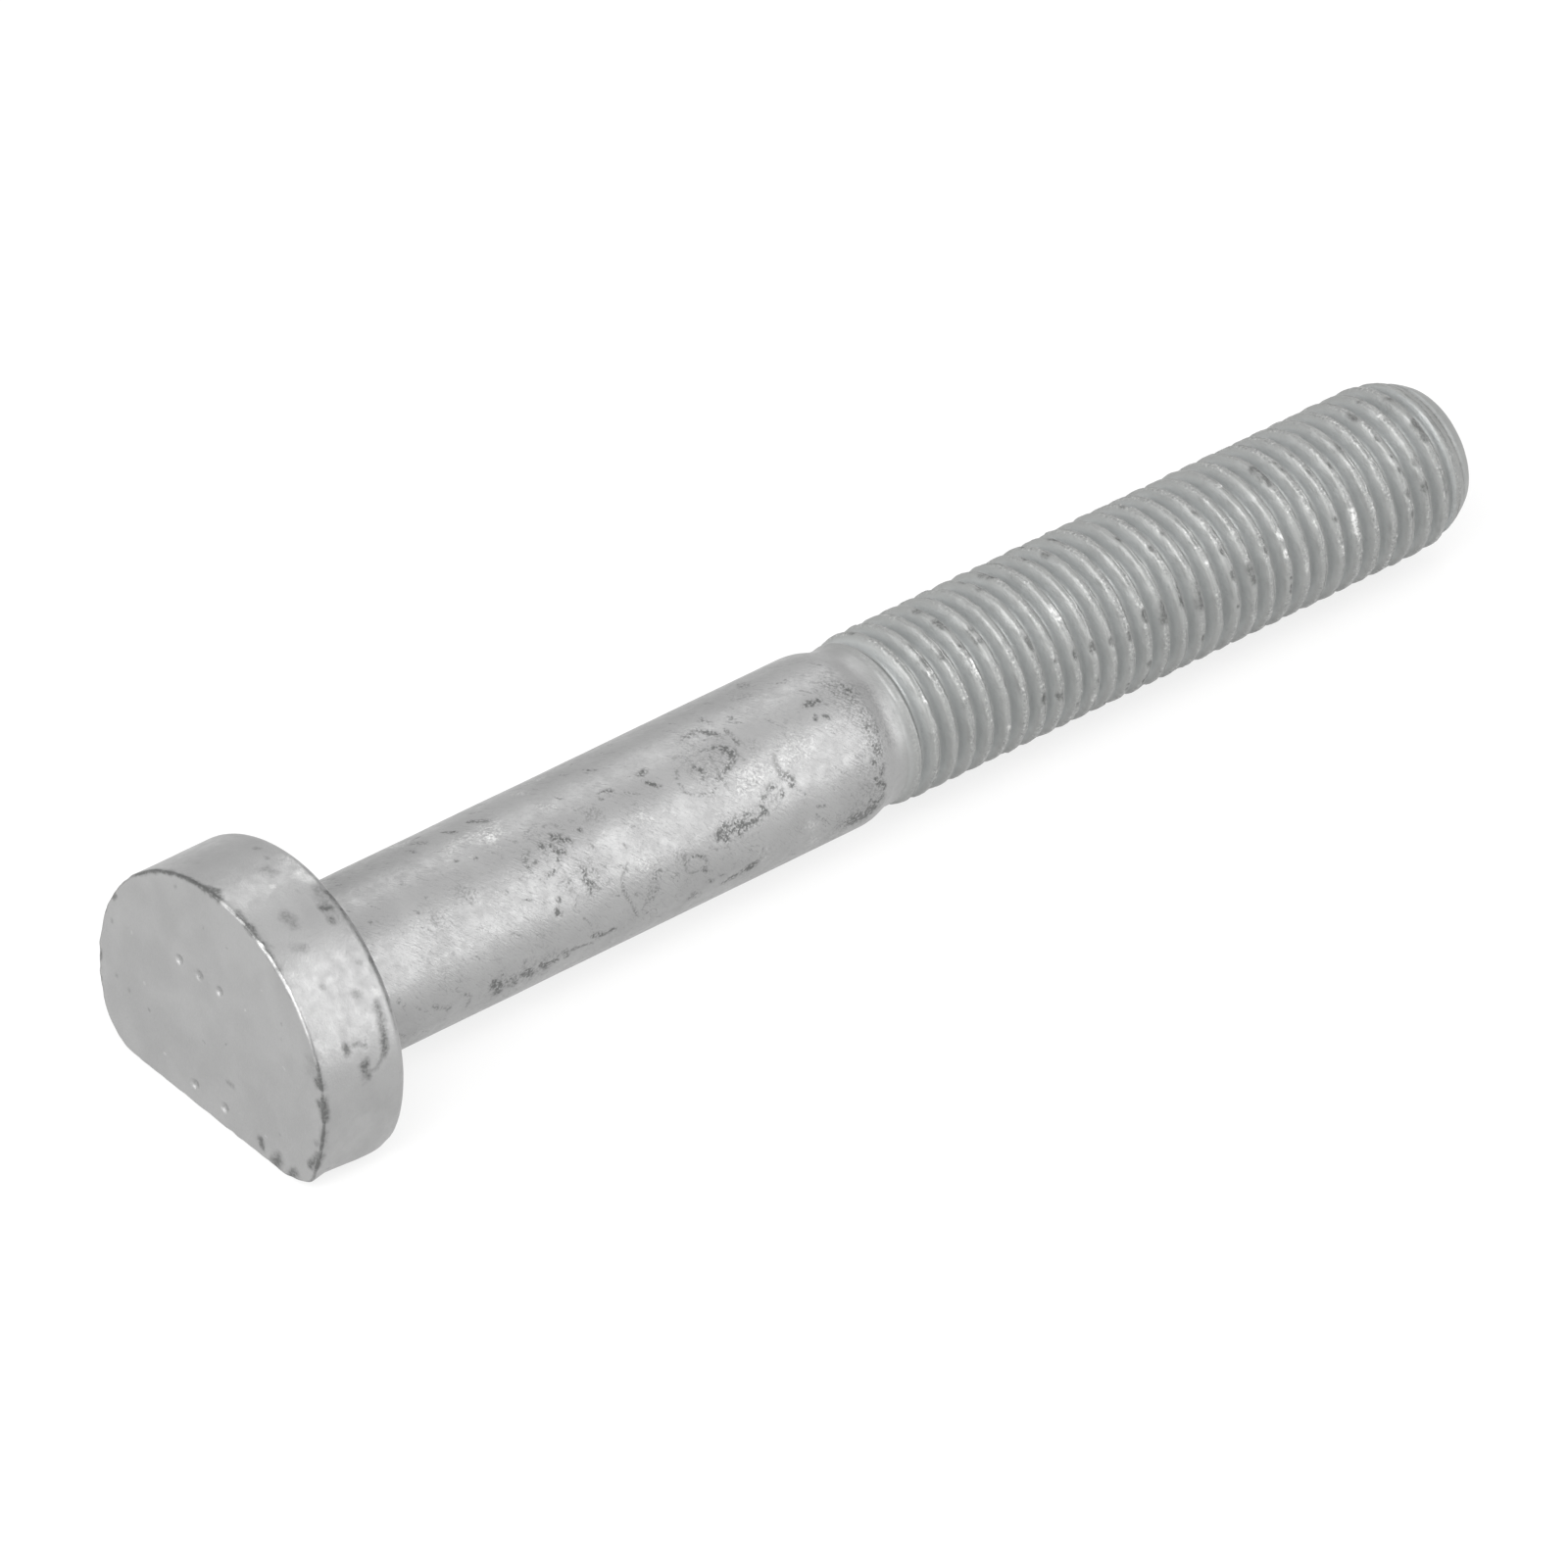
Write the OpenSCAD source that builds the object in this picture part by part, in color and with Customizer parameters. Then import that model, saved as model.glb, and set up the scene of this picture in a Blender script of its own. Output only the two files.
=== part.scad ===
// Forged bolt with a D-shaped head, a full-bodied shank and a rolled metric thread.
// The axis runs along X. The bearing face under the head lies at x = 0, and the thread
// end points along +X. The flat of the head faces down.

/* [Head] */
// Diameter of the round side of the head
head_d = 30.4; // [28:0.1:36]
// Thickness of the head along the axis
head_h = 9.2; // [6:0.1:14]
// Distance from the axis down to the flat of the head
flat_offset = 8.3; // [8.2:0.1:11]
// Radius of the two corners between the round side and the flat
corner_r = 5; // [3:0.5:7]
// Edge radius around the outer face
face_edge_r = 0.3; // [0.2:0.1:1]
// Edge radius around the bearing face
back_edge_r = 1; // [0.4:0.1:1.8]

/* [Shank] */
// Diameter of the plain shank
shank_d = 16; // [15.8:0.1:16.3]
// Length of the plain shank, up to the shoulder where it narrows
shank_l = 57.7; // [30:0.1:75]
// Radius of the fillet between the bearing face and the shank
seat_fillet_r = 0.6; // [0.3:0.1:1]
// Diameter of the rolling blank, seen as the neck between shank and thread
neck_d = 14.7; // [14.4:0.1:15]
// Radius where the shank turns down into the shoulder
shoulder_r = 3; // [1:0.5:3]
// Radius where the shoulder runs out into the neck
neck_fillet_r = 2; // [0.5:0.5:2]
// Angle of the shoulder to the axis
shoulder_angle = 25; // [20:1:30]

/* [Thread] */
// Diameter over the crests of the thread
thread_d = 15.7; // [15.5:0.05:16]
// Distance from crest to crest along the axis
pitch = 2; // [1.5:0.1:2.5]
// Length of the bolt from the bearing face to the thread end
length = 127; // [110:0.5:160]
// Turns over which the rolled thread grows from the neck to its full depth
run_in_turns = 1.5; // [0.5:0.25:3]
// Diameter of the flat end face
end_d = 11.5; // [9:0.5:12.5]
// Length of the chamfer at the thread end
end_chamfer_l = 4.2; // [3:0.1:6]
// Edge radius around the end face
end_edge_r = 0.4; // [0.2:0.1:0.6]
// Steps in which one turn of the thread is drawn
thread_steps = 24; // [16:4:36]

/* [Hidden] */
steel = [0.66, 0.67, 0.66];
round_fn = 96;
arc_steps = 8;

// Head outline, drawn about Z with the flat towards +X.
head_r = head_d / 2;
corner_x = flat_offset - corner_r;
corner_y = sqrt(pow(head_r - corner_r, 2) - pow(corner_x, 2));
corner_angle = atan2(corner_y, corner_x);
// The corners stand this much proud, so that they cross the round side and the flat.
corner_overlap = 0.01;

// Shoulder and neck.
shank_r = shank_d / 2;
neck_r = neck_d / 2;
shoulder_turn = (shoulder_r + neck_fillet_r) * (1 - cos(shoulder_angle));
shoulder_straight = (shank_r - neck_r - shoulder_turn) / tan(shoulder_angle);
shoulder_l = (shoulder_r + neck_fillet_r) * sin(shoulder_angle) + shoulder_straight;
neck_x = shank_l + shoulder_l;
// The shank starts inside the head, this far along.
shank_x0 = -head_h / 2;

// Basic profile of a 60 degree thread, one pitch wide.
flank_angle = 30;
depth_share = 0.6134;
crest_share = 1 / 8;
thread_r = thread_d / 2;
thread_depth = depth_share * pitch;
root_r = thread_r - thread_depth;
crest_w = crest_share * pitch;
flank_w = thread_depth * tan(flank_angle);
root_w = pitch - crest_w - 2 * flank_w;
// Places of the four profile corners, measured along the axis from the middle of the root.
profile_x = [-root_w / 2, root_w / 2, root_w / 2 + flank_w, root_w / 2 + flank_w + crest_w];

// The threaded length: it starts at a flat ring on the neck and ends at one on the chamfer.
ring_gap = crest_w;
// Each ring lies this far inside the round end that it meets.
ring_inset = 0.05;
// Plain neck ahead of the first ring.
neck_run = 0.1;
thread_x0 = neck_x + neck_run;
helix_x0 = thread_x0 + root_w / 2 + ring_gap;
chamfer_slope = (thread_r - end_d / 2) / end_chamfer_l;
// Past where it trims the roots away the chamfer is bare cone, over this share of its rest.
bare_share = 0.8;
thread_x1 = length - (root_r - end_d / 2) / chamfer_slope * bare_share;
helix_l = thread_x1 - ring_gap - profile_x[3] - helix_x0;
last = floor(helix_l / pitch * thread_steps);

// Radius of the chamfer's cone at a place along the axis.
function chamfer_r(x) = end_d / 2 + (length - x) * chamfer_slope;
// Share of the full thread depth at one step, from 0 on the neck to 1.
function growth(k) = min(1, k / (run_in_turns * thread_steps));
// Radius of profile corner j at step k, before the chamfer trims it.
function rolled_r(k, j) = neck_r + growth(k) * ((j < 2 ? root_r : thread_r) - neck_r);
// A point at a radius and an angle about the axis.
function on_axis(x, r, a) = [x, r * cos(a), r * sin(a)];
// Corner j of the profile at step k of the helix.
function helix_point(k, j) =
    let (x = helix_x0 + pitch * k / thread_steps + profile_x[j])
    on_axis(x, min(rolled_r(k, j), chamfer_r(x)), 360 * k / thread_steps);
// Ring of points on a plane across the axis, starting at the angle of step k.
function ring(x, r, k) =
    [for (i = [0:thread_steps - 1]) on_axis(x, r, 360 * (k + i) / thread_steps)];
// Points of a round arc about a centre, with its turn measured from the radial direction.
function arc(x, r, rad, a0, a1) =
    [for (i = [0:arc_steps]) let (a = a0 + (a1 - a0) * i / arc_steps) [r + rad * cos(a), x + rad * sin(a)]];

// Turns what is drawn about Z to lie along X, with +X turned down.
module along_x() {
    rotate([0, 90, 0]) children();
}

// Section of the head at its rim: a slab with a round edge on each face.
module rim_section(r) {
    polygon(concat(
        [[0, 0], [0, -head_h]],
        arc(face_edge_r - head_h, r - face_edge_r, face_edge_r, -90, 0),
        arc(-back_edge_r, r - back_edge_r, back_edge_r, 0, 90)));
}

// D-shaped head: a round side, a flat and a large corner where they meet.
module head() {
    rotate_extrude(angle = 360 - 2 * corner_angle, start = corner_angle, $fn = round_fn)
        rim_section(head_r);
    for (side = [-1, 1])
        translate([corner_x, side * corner_y, 0])
            rotate_extrude($fn = round_fn) rim_section(corner_r + corner_overlap);
    translate([0, corner_y, 0]) rotate([90, 0, 0])
        linear_extrude(2 * corner_y) rim_section(flat_offset);
}

// Fillet between the bearing face and the shank, cut off at the flat, which it would overhang.
module seat_fillet() {
    root_l = back_edge_r + seat_fillet_r;
    intersection() {
        rotate_extrude($fn = round_fn) polygon(concat(
            [[0, -back_edge_r], [shank_r + seat_fillet_r, -back_edge_r]],
            arc(seat_fillet_r, shank_r + seat_fillet_r, seat_fillet_r, 270, 180),
            [[0, seat_fillet_r]]));
        translate([flat_offset - head_d, -head_r, -back_edge_r]) cube([head_d, head_d, root_l]);
    }
}

// Plain shank with its shoulder and the neck.
module shank() {
    rotate_extrude($fn = round_fn) polygon(concat(
        [[0, shank_x0], [shank_r, shank_x0]],
        arc(shank_l, shank_r - shoulder_r, shoulder_r, 0, shoulder_angle),
        arc(neck_x, neck_r + neck_fillet_r, neck_fillet_r, 180 + shoulder_angle, 180),
        [[neck_r, thread_x0], [0, thread_x0]]));
}

// Index of profile corner j at step k in the thread's list of points.
function at(k, j) = 4 * k + j;
// Two triangles over four corners.
function quad(a, b, c, d) = [[a, b, c], [a, c, d]];
// Triangles from one point to each pair of neighbours in a row of points.
function fan(hub, row) = [for (i = [1:len(row) - 1]) [hub, row[i], row[i - 1]]];

// Rolled thread: one helical sheet between two flat rings.
module thread() {
    n = thread_steps;
    // Step at which the last full turn begins.
    turn = last - n;
    points = concat(
        [for (k = [0:last]) for (j = [0:3]) helix_point(k, j)],
        ring(thread_x0, neck_r - ring_inset, 0),
        ring(thread_x1, chamfer_r(thread_x1) - ring_inset, turn));
    start = [for (i = [0:n]) at(last + 1, 0) + i % n];
    end = [for (i = [0:n]) at(last + 1, 0) + n + i % n];
    flanks = [for (k = [0:last - 1]) for (j = [0:2])
        each quad(at(k, j), at(k, j + 1), at(k + 1, j + 1), at(k + 1, j))];
    roots = [for (k = [0:turn - 1])
        each quad(at(k, 3), at(k + n, 0), at(k + n + 1, 0), at(k + 1, 3))];
    // The sheet's first and last edges are ramps, and each ramp's two ends meet the ring at one angle.
    start_ramp = [for (i = [0:n - 2]) each quad(start[i], at(i, 0), at(i + 1, 0), start[i + 1])];
    start_seam = fan(at(n - 1, 0), concat(
        [start[n - 1], start[n]], [for (j = [0:3]) at(0, j)], [at(n, 0)]));
    end_ramp = [for (i = [1:n - 1])
        each quad(at(turn + i, 3), end[i], end[i + 1], at(turn + i + 1, 3))];
    end_seam = fan(at(turn + 1, 3), concat(
        [end[1], end[0]], [for (j = [3:-1:0]) at(last, j)], [at(turn, 3)]));
    caps = [[for (i = [0:n - 1]) start[i]], [for (i = [n - 1:-1:0]) end[i]]];
    polyhedron(points, concat(flanks, roots, start_ramp, start_seam, end_ramp, end_seam, caps));
}

// Bare end of the chamfer, with a round edge at the end face.
module thread_end() {
    edge = 90 - atan(chamfer_slope);
    edge_r = end_d / 2 - end_edge_r * tan(edge / 2);
    rotate_extrude($fn = round_fn) polygon(concat(
        [[0, thread_x1], [chamfer_r(thread_x1), thread_x1]],
        arc(length - end_edge_r, edge_r, end_edge_r, 90 - edge, 90),
        [[0, length]]));
}

module bolt() {
    color(steel) {
        along_x() head();
        along_x() seat_fillet();
        along_x() shank();
        thread();
        along_x() thread_end();
    }
}

bolt();
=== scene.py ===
"""Looks of the D-head bolt: one piece of forged and rolled steel in a zinc-flake coat.

The classes hold lengths in millimetres, which turn to metres where a mesh is made. The
bolt's axis is X, with the bearing face at 0 and the thread end towards +X. An angle about
the axis starts at +Y and turns towards +Z.
"""

from __future__ import annotations

import itertools
import logging
import math
from collections.abc import Sequence
from dataclasses import dataclass
from enum import Enum

import bmesh
import bpy
import numpy as np
from mathutils import Matrix, Vector

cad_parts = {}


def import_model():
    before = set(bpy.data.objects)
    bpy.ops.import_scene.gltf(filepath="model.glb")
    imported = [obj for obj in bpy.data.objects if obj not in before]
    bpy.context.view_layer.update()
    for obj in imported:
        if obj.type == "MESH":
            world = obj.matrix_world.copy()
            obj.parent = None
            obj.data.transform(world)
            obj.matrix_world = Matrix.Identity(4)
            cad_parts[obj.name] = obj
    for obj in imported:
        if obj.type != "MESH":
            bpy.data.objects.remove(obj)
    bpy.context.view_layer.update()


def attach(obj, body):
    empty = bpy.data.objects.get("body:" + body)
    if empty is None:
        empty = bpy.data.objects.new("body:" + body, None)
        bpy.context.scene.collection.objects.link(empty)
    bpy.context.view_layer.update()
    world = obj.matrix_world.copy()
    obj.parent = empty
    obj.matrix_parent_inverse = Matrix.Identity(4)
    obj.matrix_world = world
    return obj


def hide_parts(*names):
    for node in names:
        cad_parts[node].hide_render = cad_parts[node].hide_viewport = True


LOG = logging.getLogger("bolt")
MM = 0.001
CAD_NODE = "bolt"
BODY = "root"
# Point attribute with the places that the patterns of the drawn skin are read at.
FLOW = "flow"
# Random heights along each side of the block that a random field repeats.
LATTICE = 48

Pair = tuple[float, float]
Place = tuple[float, float, float]
Colour = tuple[float, float, float, float]
Stops = tuple[Pair, ...]
Socket = bpy.types.NodeSocket


# Helpers for colour, curves, random relief and new objects


def to_linear(code: str) -> Colour:
    """Turns an sRGB hex colour into the linear values that a shader takes.

    Args:
        code: Six hex digits, with or without a leading hash sign.

    Returns:
        Linear red, green, blue and an alpha of 1.
    """
    code = code.lstrip("#")
    parts = [int(code[i : i + 2], 16) / 255 for i in (0, 2, 4)]
    red, green, blue = (
        p / 12.92 if p <= 0.04045 else ((p + 0.055) / 1.055) ** 2.4 for p in parts
    )
    return red, green, blue, 1.0


def smooth_step(values: np.ndarray, low: float, high: float) -> np.ndarray:
    """Rises softly from 0 to 1.

    Args:
        values: Numbers to read.
        low: Where the rise starts. It may be above high, which turns the rise round.
        high: Where the rise ends.

    Returns:
        One share from 0 to 1 per number.
    """
    share = np.clip((values - low) / (high - low), 0, 1)
    return share * share * (3 - 2 * share)


def bell(values: np.ndarray, middle: float, width: float) -> np.ndarray:
    """Rises to 1 at the middle and falls off over the width on both sides."""
    return np.exp(-(((values - middle) / width) ** 2))


def smooth_curve(knots: Sequence[Pair], at: np.ndarray) -> np.ndarray:
    """Reads a smooth curve that passes through its knots and never swings past them.

    Args:
        knots: Pairs of place and height, with the places rising.
        at: Places to read, held inside the first and last knot.

    Returns:
        One height per place.
    """
    x, y = np.array(knots, float).T
    width = np.diff(x)
    slope = np.diff(y) / width
    turn = slope[1:] * slope[:-1]
    tangent = np.zeros_like(y)
    same_way = turn > 0
    tangent[1:-1][same_way] = 2 * turn[same_way] / (slope[1:] + slope[:-1])[same_way]
    tangent[0], tangent[-1] = slope[0], slope[-1]
    held = np.clip(at, x[0], x[-1])
    i = np.clip(np.searchsorted(x, held, side="right") - 1, 0, len(width) - 1)
    t = (held - x[i]) / width[i]
    return (
        (1 + 2 * t) * (1 - t) ** 2 * y[i]
        + t * (1 - t) ** 2 * width[i] * tangent[i]
        + t * t * (3 - 2 * t) * y[i + 1]
        + t * t * (t - 1) * width[i] * tangent[i + 1]
    )


def path_length(points: np.ndarray) -> np.ndarray:
    """Measures how far along a path each of its points lies, starting at 0."""
    steps = np.linalg.norm(np.diff(points, axis=0), axis=1)
    return np.concatenate([[0.0], np.cumsum(steps)])


@dataclass(frozen=True)
class Lumps:
    """Smooth random heights, for hammer scale, rolling and coating.

    The cell is the distance in mm from one random height to the next, the seed says
    which random field is read, and the height is its greatest, in mm or as a share.
    """

    cell: float
    seed: int
    height: float = 1.0

    def at(self, points: np.ndarray) -> np.ndarray:
        """Gives the height at each of a set of places.

        Args:
            points: Places in mm, one row each.

        Returns:
            One height per row.
        """
        heights = np.random.default_rng(self.seed).uniform(-1, 1, (LATTICE,) * 3)
        scaled = points / self.cell
        base = np.floor(scaled).astype(int)
        share = scaled - base
        share = share * share * (3 - 2 * share)
        total = np.zeros(len(points))
        for corner in itertools.product((0, 1), repeat=3):
            weight = np.prod(np.where(corner, share, 1 - share), axis=1)
            total += weight * heights[tuple(((base + corner) % LATTICE).T)]
        return self.height * total


@dataclass(frozen=True)
class Patches:
    """Where something comes and goes over the surface, as a random field rises.

    The cell and seed are those of the field. What it masks is gone where the field is
    lower than the low value, and whole where it is above the high one.
    """

    cell: float
    seed: int
    low: float
    high: float

    def at(self, points: np.ndarray) -> np.ndarray:
        """Gives a share from 0 to 1 at each place in mm."""
        return smooth_step(Lumps(self.cell, self.seed).at(points), self.low, self.high)


def soft_minimum(a: np.ndarray, b: np.ndarray, softness: float) -> np.ndarray:
    """Takes the lower of two heights, with a round turn where they cross.

    Args:
        a: First heights.
        b: Second heights.
        softness: Size in mm of the round turn.

    Returns:
        The lower heights.
    """
    return -softness * np.logaddexp(-a / softness, -b / softness)


def around_axis(x: np.ndarray, r: np.ndarray, angle: np.ndarray) -> np.ndarray:
    """Places points about the bolt's axis.

    Args:
        x: Places along the axis in mm.
        r: Distances from the axis in mm.
        angle: Angles about the axis in radians.

    Returns:
        One row of x, y, z per point.
    """
    return np.stack([x, r * np.cos(angle), r * np.sin(angle)], axis=-1)


def add_object(
    name: str, data: bpy.types.Mesh | bpy.types.Light | bpy.types.Camera
) -> bpy.types.Object:
    """Makes an object of some data and links it to the scene."""
    made = bpy.data.objects.new(name, data)
    bpy.context.scene.collection.objects.link(made)
    return made


# Marks that forging, handling and coating left on the surface

# Steps in which a mark follows a round side from one stop to the next.
STEPS_PER_STOP = 4
# Corners of a dried drop's outline, and how far its width may be off there.
RING_CORNERS = 13
RING_SWELL = (0.8, 1.2)
# Beyond this many times its reach a mark doesn't show.
MARK_END = 3.0
# Least squared length in mm of a leg, for marks that have a single stop.
LEAST_LEG = 1e-9
# A mark's outline is ragged by this share of its reach.
RAGGED = Lumps(0.45, 17, 0.45)
# A mark fades and comes back along its line, about this mean and between these ends.
FADING = Lumps(1.1, 18, 0.45)
FADING_MEAN = 0.95
FADING_ENDS = (0.4, 1.0)


@dataclass(frozen=True)
class Mark:
    """What a dent, chip or stain does to the coat.

    The reach is its half width in mm, the depth how far it goes in, the soil how dark it
    is from 0 to 1, the shine how bare and bright, and the scrawl how thickly fine lines
    cross it.
    """

    reach: float
    depth: float = 0.0
    soil: float = 0.0
    shine: float = 0.0
    scrawl: float = 0.0


class Wear(Enum):
    """Kinds of mark that the bolt shows."""

    OUTLINE = Mark(0.14, 0.0, 0.42)
    HAIRLINE = Mark(0.16, 0.012, 0.55)
    LINE = Mark(0.21, 0.02, 0.85)
    BLOT = Mark(0.36, 0.04, 1.0)
    SMUDGE = Mark(0.34, 0.0, 0.50)
    STAIN = Mark(1.1, 0.0, 0.30)
    PIT = Mark(0.26, 0.14, 0.9)
    CHIP = Mark(0.28, 0.08, 0.0, 0.75)
    SCUFF = Mark(0.45, 0.02, 0.0, 0.45)
    SCRAWL = Mark(1.1, 0.0, 0.0, 0.0, 1.0)
    TORN = Mark(0.9, 0.0, 0.0, 0.26, 0.7)


@dataclass(frozen=True)
class Stroke:
    """A mark of one kind, drawn along a line of stops or at a single one.

    On a round side a stop is the place along the axis in mm and the angle in degrees. On
    the head's face it is y and z in mm. The size multiplies the kind's reach.
    """

    wear: Wear
    size: float
    stops: Stops

    def on_round(self, radius: float) -> np.ndarray:
        """Walks the stops over a round side.

        Args:
            radius: Distance of the side from the axis, in mm.

        Returns:
            Places in mm, close enough together to follow the side.
        """
        stops = np.array(self.stops, float)
        reached = np.arange(len(stops), dtype=float)
        fine = np.linspace(0, reached[-1], 1 + STEPS_PER_STOP * (len(stops) - 1))
        x, degrees = (np.interp(fine, reached, stops[:, i]) for i in (0, 1))
        return around_axis(x, np.full_like(x, radius), np.radians(degrees))

    def on_face(self, x: float) -> np.ndarray:
        """Lays the stops on the head's face, at x in mm."""
        stops = np.array(self.stops, float)
        return np.column_stack([np.full(len(stops), x), stops])


def strokes_of(wear: Wear, *marks: tuple[float, ...]) -> tuple[Stroke, ...]:
    """Draws marks of one kind, each given as its size and then its stops in turn."""
    return tuple(
        Stroke(wear, size, tuple(zip(stops[::2], stops[1::2]))) for size, *stops in marks
    )


def ring(wear: Wear, middle: Pair, half: Pair) -> Stroke:
    """Draws the round, uneven outline that a dried drop leaves.

    Args:
        wear: Kind of the line.
        middle: The ring's middle, as a stop.
        half: Its half width and half height, in the units of the stop.

    Returns:
        The ring as a stroke.
    """
    turns = np.linspace(0, 2 * math.pi, RING_CORNERS)
    random = np.random.default_rng(int(100 * middle[0]))
    swell = random.uniform(*RING_SWELL, RING_CORNERS)
    swell[-1] = swell[0]
    stops = tuple(
        (middle[0] + half[0] * b * math.cos(t), middle[1] + half[1] * b * math.sin(t))
        for t, b in zip(turns, swell)
    )
    return Stroke(wear, 1.0, stops)


@dataclass(frozen=True)
class Strewn:
    """Short marks of one kind at random places, which run about the same way."""

    wear: Wear
    count: int
    low: Pair
    high: Pair
    seed: int
    # Mean way from one stop of a mark to the next.
    run: Pair = (0.0, 0.0)
    sizes: Pair = (0.5, 1.0)
    # How far each stop may stray.
    stray: Pair = (0.12, 0.9)
    # Length of a mark's run, times the mean way.
    lengths: Pair = (0.3, 1.2)

    def strokes(self) -> list[Stroke]:
        """Draws the marks' places, ways and sizes."""
        random = np.random.default_rng(self.seed)
        found = []
        for _ in range(self.count):
            start = random.uniform(self.low, self.high)
            way = np.array(self.run) * random.uniform(*self.lengths)
            bend = start + way + random.normal(0, self.stray)
            end = bend + way + random.normal(0, self.stray)
            stops = tuple((float(a), float(b)) for a, b in (start, bend, end))
            found.append(Stroke(self.wear, float(random.uniform(*self.sizes)), stops))
        return found


def all_strokes(strewn: Sequence[Strewn]) -> list[Stroke]:
    """Lists the strokes of several sets of strewn marks."""
    return [stroke for some in strewn for stroke in some.strokes()]


@dataclass
class Relief:
    """What the marks do to a set of points."""

    depth: np.ndarray
    soil: np.ndarray
    shine: np.ndarray
    scrawl: np.ndarray

    @classmethod
    def blank(cls, count: int) -> Relief:
        """Starts a relief without marks, for so many points."""
        return cls(*(np.zeros(count) for _ in range(4)))

    def draw(self, points: np.ndarray, places: np.ndarray, stroke: Stroke) -> None:
        """Adds one stroke, which keeps the stronger of what meets at a point.

        Args:
            points: The points in mm, one row each.
            places: The stroke's places in mm, one row each.
            stroke: Kind and size of the stroke.
        """
        mark = stroke.wear.value
        reach = mark.reach * stroke.size
        low, high = places.min(axis=0), places.max(axis=0)
        end = MARK_END * reach
        near = np.flatnonzero(np.all((points > low - end) & (points < high + end), axis=1))
        if not len(near):
            return
        first, last = (places[:-1], places[1:]) if len(places) > 1 else (places, places)
        leg = last - first
        size = np.maximum(np.sum(leg * leg, axis=1), LEAST_LEG)
        away = points[near][:, None, :] - first[None]
        share = np.clip(np.sum(away * leg, axis=2) / size, 0, 1)
        gap = np.linalg.norm(away - share[..., None] * leg, axis=2).min(axis=1)
        gap = np.maximum(gap + reach * RAGGED.at(points[near]), 0)
        faded = np.clip(FADING_MEAN + FADING.at(points[near]), *FADING_ENDS)
        drawn = faded * bell(gap, 0, reach)
        for name in ("depth", "soil", "shine", "scrawl"):
            values = getattr(self, name)
            values[near] = np.maximum(values[near], getattr(mark, name) * drawn)

    def layers(self, grain: float | np.ndarray) -> dict[Layer, np.ndarray]:
        """Gives the values that a mesh carries for its finish.

        Args:
            grain: How feathery and grainy the coat is, from 0 to 1.

        Returns:
            One value per point for each layer that every piece has.
        """
        return {
            Layer.SOIL: np.clip(self.soil, 0, 1),
            Layer.SHINE: np.clip(self.shine, 0, 1),
            Layer.SCRAWL: self.scrawl,
            Layer.GRAIN: np.broadcast_to(grain, self.soil.shape),
        }


# Shader nodes and finishes


class Node(Enum):
    """Kinds of shader node that the finishes use, by Blender's names."""

    PLACE = "ShaderNodeTexCoord"
    LAYER = "ShaderNodeAttribute"
    NOISE = "ShaderNodeTexNoise"
    RANGE = "ShaderNodeMapRange"
    MATH = "ShaderNodeMath"
    MIX = "ShaderNodeMix"
    BUMP = "ShaderNodeBump"
    DIFFUSE = "ShaderNodeBsdfDiffuse"
    GLOW = "ShaderNodeEmission"
    BLEND = "ShaderNodeMixShader"
    RAY = "ShaderNodeLightPath"
    SKY = "ShaderNodeBackground"


def add_node(
    tree: bpy.types.NodeTree,
    kind: Node,
    settings: dict[str | int, object] | None = None,
) -> bpy.types.Node:
    """Adds one node with its settings and links.

    Args:
        tree: Node tree of a material or world.
        kind: Which node to add.
        settings: A value or the output socket to join, by input socket or, where no
            socket has the name, by property.

    Returns:
        The new node.
    """
    node = tree.nodes.new(kind.value)
    for name, value in (settings or {}).items():
        if isinstance(value, Socket):
            tree.links.new(value, node.inputs[name])
        elif isinstance(name, int) or name in node.inputs:
            node.inputs[name].default_value = value
        else:
            setattr(node, name, value)
    return node


class MixSocket(Enum):
    """Sockets of a Mix node that mixes colours."""

    FACTOR = 0
    FIRST = 6
    SECOND = 7
    RESULT = 2


class Layer(Enum):
    """Values that a mesh carries at each point for its finish."""

    # Dirt and dark marks, and painted shade in the thread's grooves, before the neck and
    # round the head's back rim.
    SOIL = "soil"
    # Bare metal, and the painted highlight along the thread's crests.
    SHINE = "shine"
    SCRAWL = "scrawl"
    GRAIN = "grain"
    THREAD = "thread"
    # Painted light low on the thread's flanks, just above the roots.
    ROOT = "root"
    CREST = "crest"


class Pattern(Enum):
    """Random patterns of the coat: size of one lump in mm, octaves and distortion.

    A zinc flake is about 0.02 mm, too fine to show, so the finest pattern is drawn at
    0.24 mm, which is what clumps of flakes look like from a step away.
    """

    PATCH = (5.0, 2.0, 0.3)
    MOTTLE = (0.9, 2.0, 0.4)
    GRIT = (0.25, 2.0, 0.2)
    FEATHER = (0.24, 2.0, 0.6)
    SCRATCH = (0.80, 1.0, 1.1)


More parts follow.
